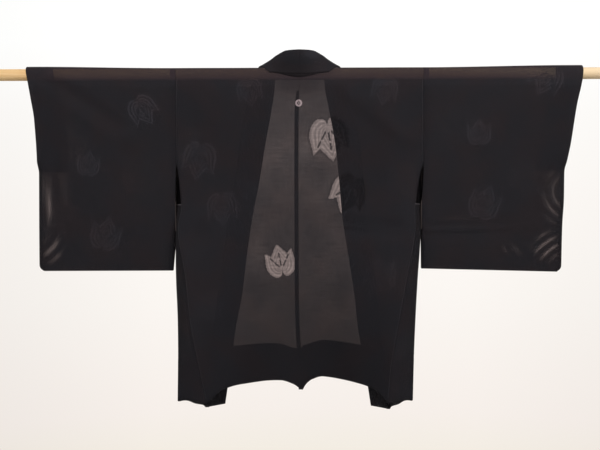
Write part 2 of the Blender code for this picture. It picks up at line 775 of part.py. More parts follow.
for side in SIDES:
    body_panel(side, plain("gauze_body_" + side, GAUZE_BLACK, GAUZE_ROUGHNESS))
    sleeve(side, plain("gauze_sleeve_" + side, GAUZE_BLACK, GAUZE_ROUGHNESS))
    gusset(side, plain("gauze_gusset_" + side, GAUZE_BLACK, GAUZE_ROUGHNESS))
    collar_half(side, plain("gauze_collar_" + side, GAUZE_BLACK, GAUZE_ROUGHNESS))
round_rod(plain("pale_wood", PALE_WOOD, WOOD_ROUGHNESS))
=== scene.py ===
"""A haori jacket of sheer black silk gauze, hung over a round wooden rod with its fronts open.

Units are metres, +Z is up. The origin is on the rod's axis, at the middle of the jacket. X runs along the
rod, the jacket's back faces -Y and its open fronts face +Y. "left" is the -X half, "right" the +X half.
"""

import math
from collections import namedtuple

import bpy
from mathutils import Matrix, Vector, noise


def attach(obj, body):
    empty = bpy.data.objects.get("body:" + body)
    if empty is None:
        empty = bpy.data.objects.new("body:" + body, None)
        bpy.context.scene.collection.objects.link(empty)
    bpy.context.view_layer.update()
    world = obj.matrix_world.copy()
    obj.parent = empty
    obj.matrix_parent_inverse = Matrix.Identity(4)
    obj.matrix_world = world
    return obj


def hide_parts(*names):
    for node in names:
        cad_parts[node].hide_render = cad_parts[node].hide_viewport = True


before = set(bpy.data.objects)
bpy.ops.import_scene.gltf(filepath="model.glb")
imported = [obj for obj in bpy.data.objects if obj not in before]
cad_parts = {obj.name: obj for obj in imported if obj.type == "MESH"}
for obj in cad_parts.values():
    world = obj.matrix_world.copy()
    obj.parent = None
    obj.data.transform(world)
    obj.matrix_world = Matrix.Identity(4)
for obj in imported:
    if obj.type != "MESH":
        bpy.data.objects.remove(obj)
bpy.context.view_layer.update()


# ---- The rod -------------------------------------------------------------------------------------------
# A planed pole of pale cypress, unvarnished. It passes through both sleeves and carries the whole jacket,
# and it runs on beyond the cuffs to whatever holds it up.

CYPRESS = "#E2C394"
CYPRESS_GRAIN = "#C79E68"
ROD_PAINTED_HIGHLIGHT = "#DAC5A6"  # painted highlight: the right end is painted paler, where the lamp falls on it more
GRAIN_SPACING = 0.0035  # between the year rings where the plane has cut across them
GRAIN_STRETCH = 26  # how much longer a grain streak is than it is wide
BROAD_BANDS = 60.0  # to a metre
GRAIN_TO_PALE = (0.75, 1.25)  # sums of the streaks' noise and the bands'
ROD_HIGHLIGHT_RAMP = (0.35, 0.70, 0.0, 0.75)  # from one x to another, from none of the painted highlight to this share


def linear(code):
    """An sRGB hex colour as the linear values that a shader takes."""
    shares = [int(code[i : i + 2], 16) / 255 for i in (1, 3, 5)]
    return (*(s / 12.92 if s <= 0.04045 else ((s + 0.055) / 1.055) ** 2.4 for s in shares), 1.0)


def connect(tree, node, inputs):
    """Each input as a value or a link from another node: by its name or number, or all from the first on."""
    for key, value in inputs.items() if isinstance(inputs, dict) else enumerate(inputs):
        if isinstance(value, bpy.types.NodeSocket):
            tree.links.new(value, node.inputs[key])
        else:
            node.inputs[key].default_value = value


def add(tree, kind, inputs=(), out=0, **settings):
    """One output of a new node of this kind, with its settings and its inputs. "ShaderNode" may be left off.

    Where the kind has a second word, that is its operation. A map range's inputs are its value, the
    two ends that come in and the two that go out. A mix of colours has them at 6 and 7, and gives them at 2.
    """
    kind, *operation = kind.split()
    node = tree.nodes.new(kind if "Node" in kind else "ShaderNode" + kind)
    if operation:
        node.operation = operation[0]
    for name, value in settings.items():
        setattr(node, name, value)
    connect(tree, node, inputs)
    return node.outputs[out] if node.outputs else node


def new_material(name):
    material = bpy.data.materials.new(name)
    material.use_nodes = True
    return material, material.node_tree, material.node_tree.nodes["Principled BSDF"]


def planed_cypress():
    """Softwood straight off the plane: dull, with long fine streaks along the pole and a few broad bands."""
    material, tree, surface = new_material("planed_cypress")
    spot = add(tree, "TexCoord", out="Object")
    along = add(tree, "Mapping", {"Vector": spot, "Scale": (1 / GRAIN_STRETCH, 1, 1)})
    streaks = add(tree, "TexNoise", {"Vector": along, "Scale": 1 / GRAIN_SPACING, "Detail": 4.0})
    bands = add(tree, "TexNoise", {"Vector": along, "Scale": BROAD_BANDS, "Detail": 1.0})
    both = add(tree, "Math ADD", (streaks, bands))
    pale = add(tree, "MapRange", (both, *GRAIN_TO_PALE))
    fresh = add(tree, "Mix", {0: pale, 6: linear(CYPRESS_GRAIN), 7: linear(CYPRESS)}, 2, data_type="RGBA")
    # painted highlight: towards the right end the wood is painted paler, as if lit more
    place = add(tree, "SeparateXYZ", (spot,))
    end = add(tree, "MapRange", (place, *ROD_HIGHLIGHT_RAMP))
    wood = add(tree, "Mix", {0: end, 6: fresh, 7: linear(ROD_PAINTED_HIGHLIGHT)}, 2, data_type="RGBA")
    relief = add(tree, "Bump", {"Height": streaks, "Strength": 0.25, "Distance": 0.0004})
    finish = {"Base Color": wood, "Roughness": 0.62, "IOR": 1.5, "Specular IOR Level": 0.3, "Normal": relief}
    connect(tree, surface, finish)
    return material


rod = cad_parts["rod"]
rod.data.materials.clear()
rod.data.materials.append(planed_cypress())


# ---- The body: two lengths of gauze, each from the back hem over the rod to the front hem ---------------
# Sheer black silk gauze with leaves woven in more openly. The two lengths are sewn together down the
# centre back, and the hem of each is turned up inside. Allowances lie under the neighbouring piece.

SIDES = {"left": -1, "right": 1}
DRAPE_RADIUS = 0.0146  # the cloth's middle line over the rod
CUFF_SLACK = 0.0040  # it stands this much higher at the cuffs
CUFF_SLACK_FROM, CUFF_SLACK_OVER = 0.30, 0.32  # and rises to that from this x, over this width
GAUZE_WALL = 0.0005  # silk gauze, a little thicker than the real 0.2 mm
LAYER_STEP = 0.0010  # between the middle lines of two layers that lie together
ROUND_ROD = 0.6  # the share of that step left where they are drawn tight round the rod
FOLD_OUT = 0.0004  # the bend between two such layers stands out this far
EDGE_STEP = 0.0006  # an allowance has its first points just past its fold, which keeps the fold crisp
SAME = 1e-6  # rows no further apart than this are one row
HEM_TURN_UP = 0.0915
TURN_UP_RISE = 0.12  # by the centre seam its edge stays higher, straighter than the hem's point
TURN_UP_RISE_WIDTH = 0.12  # as a share of the panel's
CENTRE_ALLOWANCE = 0.0095
KNOT_Z = -0.027  # where the centre-back seam is fastened off, under the collar
KNOT_FADE = 0.06  # the allowance widens over this much below it
ALLOWANCE_OFF = 0.0010  # how far it stands off the back
SEAM_ALLOWANCE = 0.009
SLEEVE_ALLOWANCE = 0.013
COLLAR_ALLOWANCE = 0.007

SLEEVE_SEAM_X = 0.288
ARMHOLE_END_Z = -0.208
GUSSET_TOP_Z = -0.306
NECK_HALF_WIDTH = 0.068
NECK_DROP = 0.011
CENTRE_HEM_Z = -0.746
SIDE_HEM_Z = -0.748
FRONT_HEM_Z = {"left": -0.801, "right": -0.807}
FRONT_BOW = 0.034
FRONT_BOW_FROM, FRONT_BOW_OVER = 0.18, 0.36  # the shares of the fall where it starts, and over which it grows
FRONT_BOW_LEFT = 0.55  # and the share of it at the hem, less from half way down
FRONT_WAVE, FRONT_WAVE_TURN, FRONT_WAVE_OVER = 0.35, 0.6, 0.6  # a smaller wave that joins in lower down
BACK_CURL = 1.6  # above 1, the back stays flat by the centre and curls away at the side
NECK_SHARE = NECK_HALF_WIDTH / SLEEVE_SEAM_X
ARMHOLE_END = ARMHOLE_END_Z / SIDE_HEM_Z  # as shares of the fall
GUSSET_TOP = GUSSET_TOP_Z / SIDE_HEM_Z
TURN_UP_SHARE = 1 + HEM_TURN_UP / SIDE_HEM_Z  # how far down the fall the turn-up's edge lies

NECK_COLUMNS = 16
SHOULDER_COLUMNS = 36
FALL_ROWS = (34, 16, 70, 14)  # to the armhole's end, the gusset's top, the turn-up's edge and the hem
ROD_ROWS = 16

Edge = namedtuple("Edge", "z x y")  # a point of an edge line; x is counted outwards from the centre
Edges = namedtuple("Edges", "z left right y")  # the same for both halves, with the x of each
Hem = namedtuple("Hem", "across z")
Fold = namedtuple("Fold", "x1 z1 x2 z2 half_width height")  # along a line, from (x1, z1) to (x2, z2)
Cloud = namedtuple("Cloud", "at_x at_y half_x half_y share")  # a soft patch, and the share that it leaves
Leaf = namedtuple("Leaf", "u v size turn clear dye")  # its middle on the flat cloth, and how it shows there


def table(kind, *rows):
    """Rows of this kind, from their values in its own order."""
    return tuple(kind(*row) for row in rows)


CENTRE_SEAM = table(  # x here is counted to the right on both halves
    Edge,
    (0.000, -0.001, -0.0148), (-0.073, -0.002, -0.0155), (-0.166, -0.003, -0.0145),
    (-0.260, -0.0035, -0.011), (-0.435, -0.0035, 0.001), (-0.517, -0.0035, 0.009), (-0.592, -0.0020, 0.017),
    (-0.657, 0.0010, 0.024), (-0.746, 0.0050, 0.033),
)
BACK_SIDE = table(
    Edges,
    (0.000, 0.288, 0.288, -0.0148), (-0.120, 0.288, 0.288, -0.0146), (-0.208, 0.288, 0.288, -0.0136),
    (-0.226, 0.283, 0.2817, -0.0138), (-0.255, 0.2798, 0.2752, -0.015), (-0.306, 0.2752, 0.2685, -0.020),
    (-0.358, 0.2815, 0.2665, -0.032), (-0.473, 0.262, 0.244, -0.052), (-0.570, 0.249, 0.223, -0.068),
    (-0.663, 0.229, 0.204, -0.082), (-0.748, 0.209, 0.194, -0.091),
)
FRONT_SIDE = table(
    Edges,
    (0.000, 0.288, 0.288, 0.0148), (-0.120, 0.288, 0.288, 0.0146), (-0.208, 0.288, 0.288, 0.0136),
    (-0.225, 0.2876, 0.2872, 0.0118), (-0.255, 0.2885, 0.286, 0.009), (-0.306, 0.2905, 0.2837, 0.004),
    (-0.358, 0.2895, 0.2825, -0.001), (-0.420, 0.2890, 0.2775, -0.010), (-0.473, 0.2870, 0.2720, -0.018),
    (-0.570, 0.2805, 0.2635, -0.034), (-0.663, 0.2775, 0.2570, -0.048), (-0.748, 0.2765, 0.2525, -0.060),
)
COLLAR_SEAM = table(
    Edges,
    (0.000, 0.103, 0.103, 0.0150), (-0.030, 0.116, 0.113, 0.0155), (-0.068, 0.127, 0.121, 0.018),
    (-0.163, 0.142, 0.143, 0.0205), (-0.258, 0.1565, 0.153, 0.025), (-0.331, 0.171, 0.159, 0.031),
    (-0.426, 0.185, 0.172, 0.041), (-0.523, 0.199, 0.185, 0.051), (-0.602, 0.212, 0.193, 0.060),
    (-0.680, 0.222, 0.204, 0.069), (-0.801, 0.2325, 0.2185, 0.085),
)
BACK_HEM = {  # from the centre seam to the side
    "left": table(
        Hem,
        (0.00, -0.746), (0.04, -0.741), (0.10, -0.732), (0.25, -0.720), (0.45, -0.717), (0.68, -0.7165),
        (0.82, -0.721), (0.94, -0.737), (1.00, -0.748),
    ),
    "right": table(
        Hem,
        (0.00, -0.746), (0.04, -0.733), (0.12, -0.720), (0.26, -0.711), (0.50, -0.712), (0.72, -0.716),
        (0.86, -0.724), (0.95, -0.737), (1.00, -0.748),
    ),
}
BACK_FOLDS = {
    "left": table(
        Fold,
        (0.050, -0.500, 0.047, -0.650, 0.022, -0.004), (0.190, -0.060, 0.235, -0.330, 0.040, 0.005),
        (0.120, -0.300, 0.140, -0.700, 0.040, 0.006), (0.230, -0.380, 0.190, -0.640, 0.025, -0.004),
        (0.275, -0.020, 0.200, -0.110, 0.016, 0.0020), (0.080, -0.470, 0.030, -0.500, 0.012, 0.0010),
    ),
    "right": table(
        Fold,
        (0.086, -0.356, 0.270, -0.370, 0.020, -0.004), (0.200, -0.060, 0.230, -0.300, 0.040, 0.005),
        (0.110, -0.420, 0.125, -0.700, 0.038, 0.006), (0.055, -0.150, 0.070, -0.500, 0.030, 0.003),
        (0.103, -0.033, 0.249, -0.154, 0.022, 0.0046), (0.255, -0.430, 0.222, -0.660, 0.012, 0.0034),
    ),
}
BACK_CREASES = {  # the sharp lines along which the jacket is folded away for storage
    "left": table(
        Fold,
        (0.090, -0.372, 0.262, -0.378, 0.0035, 0.0007), (0.077, -0.487, 0.077, -0.548, 0.0036, -0.0014),
        (0.018, -0.560, 0.015, -0.592, 0.0050, -0.0014),
    ),
    "right": table(
        Fold,
        (0.084, -0.354, 0.150, -0.3605, 0.0034, 0.0034), (0.150, -0.3605, 0.262, -0.3695, 0.0034, 0.0020),
    ),
}
FRONT_FOLDS = {
    "left": table(
        Fold,
        (0.230, -0.060, 0.200, -0.300, 0.030, 0.003), (0.250, -0.330, 0.262, -0.700, 0.016, 0.003),
    ),
    "right": table(
        Fold,
        (0.225, -0.080, 0.190, -0.330, 0.028, 0.003), (0.240, -0.350, 0.245, -0.700, 0.015, 0.003),
    ),
}
UNEVENNESS = 0.0009  # how far limp gauze wanders between its folds
UNEVENNESS_SCALE = 16.0  # wanderings to a metre across
UNEVENNESS_DOWN = 0.6  # and this times as many down
LAYER_SHIFT = 7.3  # far enough for each layer to wander on its own
FOLD_FADE = 1.6  # a fold's lift dies away over this many times its half width
SEAM_HOLDS = 0.14  # the share of the width beside a seam in which the folds die away
FRONT_SEAM_HOLDS, CREASE_HOLDS = 0.12, 0.04
FOLDS_BEGIN = 0.1  # the share of the fall over which they begin


def lerp(a, b, share):
    return a + (b - a) * share


def smooth(share):
    """0 to 1 with level ends."""
    share = min(max(share, 0.0), 1.0)
    return share * share * (3 - 2 * share)


def read(rows, at, column):
    """The named column of a table at this value of its first column, on a smooth curve through its rows."""
    keys = [row[0] for row in rows]
    values = [getattr(row, column) for row in rows]
    if keys[0] > keys[-1]:
        keys, values = keys[::-1], values[::-1]
    at = min(max(at, keys[0]), keys[-1])
    i = max(k for k in range(len(keys) - 1) if keys[k] <= at)
    slopes = [(values[k + 1] - values[k]) / (keys[k + 1] - keys[k]) for k in range(len(keys) - 1)]
    width = keys[i + 1] - keys[i]
    share = (at - keys[i]) / width
    before = slopes[i - 1] if i else slopes[i]
    after = slopes[i + 1] if i + 1 < len(slopes) else slopes[i]
    start = 2 * before * slopes[i] / (before + slopes[i]) if before * slopes[i] > 0 else 0.0
    end = 2 * after * slopes[i] / (after + slopes[i]) if after * slopes[i] > 0 else 0.0
    return (
        values[i] * (1 + 2 * share) * (1 - share) ** 2
        + values[i + 1] * share**2 * (3 - 2 * share)
        + width * share * (1 - share) * (start * (1 - share) - end * share)
    )


def fold_height(folds, x, z):
    """How far the folds of this table lift a layer at (x, z)."""
    lift = 0.0
    for fold in folds:
        run_x, run_z = fold.x2 - fold.x1, fold.z2 - fold.z1
        off_x, off_z = x - fold.x1, z - fold.z1
        along = min(max((off_x * run_x + off_z * run_z) / (run_x**2 + run_z**2), 0.0), 1.0)
        away = math.hypot(off_x - run_x * along, off_z - run_z * along)
        lift += fold.height * smooth(1 - away / (fold.half_width * FOLD_FADE))
    return lift


def wander(x, z, layer):
    """The small unevenness of limp cloth, different on each layer."""
    spot = Vector((x * UNEVENNESS_SCALE, z * UNEVENNESS_SCALE * UNEVENNESS_DOWN, layer * LAYER_SHIFT))
    return UNEVENNESS * noise.noise(spot)


def top_rise(x):
    return DRAPE_RADIUS + CUFF_SLACK * smooth((abs(x) - CUFF_SLACK_FROM) / CUFF_SLACK_OVER)


def centre_point(f):
    """On the centre-back seam; f is 0 at the neck and 1 at the hem."""
    z = lerp(-NECK_DROP, CENTRE_HEM_Z, f)
    return Vector((read(CENTRE_SEAM, z, "x"), read(CENTRE_SEAM, z, "y"), z))


def side_point(line, side, f, hem=SIDE_HEM_Z):
    """On this edge line, at this share of the way down to the hem, where the table's last row lies."""
    rows = (*line[:-1], line[-1]._replace(z=hem))
    z = hem * f
    return Vector((SIDES[side] * read(rows, z, side), read(rows, z, "y"), z))


def back_point(side, across, f):
    """On the back's middle line; across is 0 at the centre seam and 1 at the side edge."""
    centre, edge = centre_point(f), side_point(BACK_SIDE, side, f)
    neck = NECK_DROP * (1 - smooth(across / NECK_SHARE)) if across < NECK_SHARE else 0.0
    x = lerp(centre.x, edge.x, across)
    z = lerp(-neck, read(BACK_HEM[side], across, "z"), f)
    z += TURN_UP_RISE * f**4 * (1 - f) * smooth(1 - across / TURN_UP_RISE_WIDTH)
    y = lerp(centre.y, edge.y, across**BACK_CURL)
    between_seams = min(across, 1 - across)
    inside = smooth(between_seams / SEAM_HOLDS) * smooth(f / FOLDS_BEGIN)
    lift = fold_height(BACK_FOLDS[side], abs(x), z) * inside
    creases = fold_height(BACK_CREASES[side], abs(x), z) + wander(x, z, 0)
    lift += creases * smooth(between_seams / CREASE_HOLDS)
    return Vector((x, y - lift, z))


def front_point(side, across, f):
    """On the front's middle line; across is 0 at the collar seam and 1 at the side edge."""
    seam = side_point(COLLAR_SEAM, side, f, FRONT_HEM_Z[side])
    edge = side_point(FRONT_SIDE, side, f)
    point = seam.lerp(edge, across)
    slack = FRONT_BOW * smooth((f - FRONT_BOW_FROM) / FRONT_BOW_OVER)
    slack *= lerp(1.0, FRONT_BOW_LEFT, smooth(2 * f - 1))
    second = FRONT_WAVE * math.sin(3 * math.pi * across + FRONT_WAVE_TURN) * smooth(f / FRONT_WAVE_OVER)
    wave = math.sin(math.pi * across) + second
    between_seams = smooth(min(across, 1 - across) / FRONT_SEAM_HOLDS)
    folds = fold_height(FRONT_FOLDS[side], abs(point.x), point.z) * smooth(f / FOLDS_BEGIN)
    point.y += (slack * wave + folds + wander(point.x, point.z, 1)) * between_seams
    return point


def rod_point(side, across, turn):
    """Over the rod; turn is 0 where the front leaves it and 1 where the back does, across 0 at the neck."""
    start, end = front_point(side, across, 0.0), back_point(side, lerp(NECK_SHARE, 1.0, across), 0.0)
    x = lerp(start.x, end.x, turn**1.5)
    angle = math.pi * turn
    y = lerp(start.y, end.y, (1 - math.cos(angle)) / 2)
    return Vector((x, y, top_rise(x) * math.sin(angle)))


def steps_between(stops, counts):
    """Even steps from each stop to the next, this many in each gap, and the last stop."""
    steps = [lerp(a, b, i / n) for a, b, n in zip(stops, stops[1:], counts) for i in range(n)]
    return [*steps, stops[-1]]


def fall_steps():
    """The rows' places down a panel."""
    stops = (0.0, ARMHOLE_END, GUSSET_TOP, TURN_UP_SHARE, 1.0)
    return steps_between(stops, FALL_ROWS)


def lengths(points, zero, start=0.0):
    """How far along the line of points each is, counted from the one at zero."""
    far = [start] * len(points)
    for i in range(zero + 1, len(points)):
        far[i] = far[i - 1] + (points[i] - points[i - 1]).length
    for i in range(zero - 1, -1, -1):
        far[i] = far[i + 1] - (points[i] - points[i + 1]).length
    return far


def cut_cloth(name, grid, zero, wall, material, keep=None, loop=False):
    """A piece of cloth through the points of a grid, as a thin closed wall.

    Its UV map "cloth" is the cut piece laid flat, in metres: across from zero's column, and along from the
    height at zero's row. keep says which faces there are. In a loop the last row is the first row again.
    """
    rows, columns = len(grid), len(grid[0])
    zero_row, zero_column = zero
    across = [lengths(line, zero_column) for line in grid]
    along = [lengths(line, zero_row, line[zero_row].z) for line in zip(*grid)]
    number, points, faces, flat = {}, [], [], []
    for row in range(rows - 1):
        for column in range(columns - 1):
            if keep and not keep(row, column):
                continue
            corners = [(row, column), (row, column + 1), (row + 1, column + 1), (row + 1, column)]
            face = []
            for r, c in corners:
                key = (0, c) if loop and r == rows - 1 else (r, c)
                if key not in number:
                    number[key] = len(points)
                    points.append(grid[key[0]][key[1]])
                face.append(number[key])
                flat += (across[r][c], along[c][r])
            faces.append(face)
    mesh = bpy.data.meshes.new(name)
    mesh.from_pydata(points, [], faces)
    layer = mesh.uv_layers.new(name="cloth")
    layer.data.foreach_set("uv", flat)
    mesh.shade_smooth()
    mesh.materials.append(material)
    piece = bpy.data.objects.new(name, mesh)
    bpy.context.scene.collection.objects.link(piece)
    solidify = piece.modifiers.new("wall", "SOLIDIFY")
    solidify.thickness = wall
    solidify.offset = 0
    return piece


# The gauze itself
GAUZE_BLACK = "#1D1C20"
GAUZE_PLUM = "#201C1F"
GAUZE_PAINTED_BACKLIGHT = "#2C2428"  # painted light: the gauze over the pale wood is painted paler, for the wood's light shining through it
GROUND_CLEAR = 0.195  # how much passes each face of the cloth, so its square passes the cloth
THREAD_STEP = (0.0012, 0.0024, 1.0)  # the leaves' edges step by these, about four real threads
WEFT_PITCH = 0.0050  # the weft's bars, drawn six times as coarse as they are
SLUB_LENGTH = 0.045
THREAD_SCALE = 1.3
WEFT_SHARE = 1.6  # the bars across show this much more than the streaks along
SLUBS = (0.9, 1.7, 0.89, 1.11)  # between two values of the threads' noise, less light passes or more
PATCH_SCALE = 13.0  # the dye's patches
PATCHES = (0.3, 0.7, 0.94, 1.06)  # and the same between two values of theirs
PLUM_PATCHES = (0.42, 0.62)  # between which the dye turns redder
SOFT_EDGE = (0.25, 1.25)  # the shares of a soft patch's half sizes between which it fades
OVER_ROD_Z = -0.030  # above this the gauze lies on the rod, and light reaches the wood through it
ROD_GLOW_BAND = (-0.019, -0.010)  # from one height to the other the painted glow of the wood through the gauze comes in
CUFF_DOUBLES = (0.54, 0.60)  # from one x to the other, for there the cuff's turning lies over the rod too
CUFF_GLOW_SHARE = 0.25  # and this share of the painted glow stays there
PAINTED_SHADE_ROWS = (  # painted shade by neck and hem: between two heights, the light passing falls to this share
    (-0.17, -0.06, 0.85),
    (-0.20, -0.31, 0.78),
    (-0.45, -0.70, 0.77),
)

MARK = (-0.0003, -0.0703)  # its middle, on the centre-back seam
MARK_RING, MARK_LINE, MARK_DOT = 0.0062, 0.0022, 0.0020
MARK_SILK = "#8F8083"  # left paler in the dyeing: a plain ring round a dot

LEAF_OUTLINE = (  # (turn from the middle lobe in degrees, reach from the stalk) round half a leaf
    (0, 1.00), (6, 0.89), (16, 0.76), (30, 0.66), (37, 0.92), (44, 0.80), (56, 0.69), (75, 0.61),
    (97, 0.52), (120, 0.44), (145, 0.37), (165, 0.25), (180, 0.05),
)
LEAF_STALK = -0.35  # where the stalk meets the leaf, below its middle
LEAF_REACH = 0.70  # the whole leaf lies within this of its middle
SIDE_VEIN_TURN = 36
VEIN_HALF_WIDTH = 0.030
VEIN_RUN, VEIN_BREAK = (0.40, 0.26), (0.43, 0.025)  # the middle and half the length of a vein and of its gap
LEAF_RIM = 0.075  # the ground lies closer this far round a leaf
LEAF_RIPPLE = 0.15  # the weave inside opens and closes in lines that follow the outline
VEIN_PASSES, RIM_PASSES = (0.0, 1.0, 1.0, 0.45), (0.0, 1.0, 1.0, 0.85)  # from a mask to what light it leaves
RIPPLE_PASSES = (-1.0, 1.0, 0.88, 1.10)
RIPPLE_DYE = (-1.0, 1.0, -0.05, 1.95)  # from the lines to how much of a leaf's own dye shows


def woven_leaf():
    """The figure as a pattern: an ivy leaf of three pointed lobes, with broken veins, about one unit long."""
    tree = bpy.data.node_groups.new("woven_leaf", "ShaderNodeTree")
    tree.interface.new_socket("Place", in_out="INPUT", socket_type="NodeSocketVector")
    for name in ("Leaf", "Vein", "Rim", "Ripple"):
        tree.interface.new_socket(name, in_out="OUTPUT", socket_type="NodeSocketFloat")
    place = add(tree, "NodeGroupInput")
    aside, ahead = add(tree, "SeparateXYZ", (place,)).node.outputs[:2]
    up = add(tree, "Math SUBTRACT", (ahead, LEAF_STALK))
    flat = add(tree, "CombineXYZ", (aside, up))
    reach = add(tree, "VectorMath LENGTH", (flat,), "Value")
    angle = add(tree, "Math ARCTAN2", (aside, up))
    turn = add(tree, "Math ABSOLUTE", (angle,))
    share = add(tree, "Math DIVIDE", (turn, math.pi))
    outline = add(tree, "FloatCurve", {"Value": share})
    mapping = outline.node.mapping
    curve = mapping.curves[0]
    points = [(degrees / 180, length) for degrees, length in LEAF_OUTLINE]
    curve.points[0].location, curve.points[1].location = points[0], points[-1]
    for point in points[1:-1]:
        curve.points.new(*point)
    for point in curve.points:
        point.handle_type = "VECTOR"
    mapping.update()
    over = add(tree, "Math SUBTRACT", (reach, outline))
    leaf = add(tree, "Math LESS_THAN", (over, 0.0))
    outer = add(tree, "Math LESS_THAN", (over, LEAF_RIM))
    rim = add(tree, "Math SUBTRACT", (outer, leaf))
    off_side = add(tree, "Math SUBTRACT", (turn, math.radians(SIDE_VEIN_TURN)))
    off_side = add(tree, "Math ABSOLUTE", (off_side,))
    off = add(tree, "Math MINIMUM", (turn, off_side))
    away = add(tree, "Math MULTIPLY", (off, reach))
    line = add(tree, "Math LESS_THAN", (away, VEIN_HALF_WIDTH))
    long = add(tree, "Math COMPARE", (reach, *VEIN_RUN))
    broken = add(tree, "Math COMPARE", (reach, *VEIN_BREAK))
    whole = add(tree, "Math SUBTRACT", (long, broken))
    vein = add(tree, "Math MULTIPLY", (line, whole))
    ripple = add(tree, "Math MULTIPLY", (over, 2 * math.pi / LEAF_RIPPLE))
    ripple = add(tree, "Math SINE", (ripple,))
    add(tree, "NodeGroupOutput", {"Leaf": leaf, "Vein": vein, "Rim": rim, "Ripple": ripple})
    return tree


LEAF_FIGURE = woven_leaf()


def leaf_mixture(tree, cloth, leaves):
    """(leaf, vein, rim, ripple, clearness, dye) as sockets, from the place on the flat cloth."""
    stepped = add(tree, "VectorMath SNAP", (cloth, THREAD_STEP))
    near, clearness, dye = (0, 0, 0), 0.0, 0.0
    for leaf in leaves:
        turn = (0, 0, math.radians(leaf.turn))
        laid = {0: stepped, 1: (leaf.u, leaf.v, 0), 2: turn, 3: (leaf.size, leaf.size, 1)}
        spot = add(tree, "Mapping", laid, vector_type="TEXTURE")
        reach = add(tree, "VectorMath LENGTH", (spot,), "Value")
        here = add(tree, "Math LESS_THAN", (reach, LEAF_REACH))
        part = add(tree, "VectorMath SCALE", {0: spot, "Scale": here})
        near = add(tree, "VectorMath ADD", (near, part))
        clearness = add(tree, "Math MULTIPLY_ADD", (here, leaf.clear, clearness))
        dye = add(tree, "Math MULTIPLY_ADD", (here, leaf.dye, dye))
    figure = add(tree, "Group", (near,), node_tree=LEAF_FIGURE).node.outputs
    found = add(tree, "Math GREATER_THAN", (clearness, 0.0))
    masks = [add(tree, "Math MULTIPLY", (found, mask)) for mask in figure]
    return (*masks, clearness, dye)


def soft_patch(tree, place, cloud):
    """1 outside the patch, and the share that it leaves at its middle."""
    centred = {0: place, 1: (cloud.at_x, cloud.at_y, 0), 3: (cloud.half_x, cloud.half_y, 1)}
    spot = add(tree, "Mapping", centred, vector_type="TEXTURE")
    away = add(tree, "VectorMath LENGTH", (spot,), "Value")
    ends = (away, *SOFT_EDGE, cloud.share, 1.0)
    return add(tree, "MapRange", ends, interpolation_type="SMOOTHSTEP")


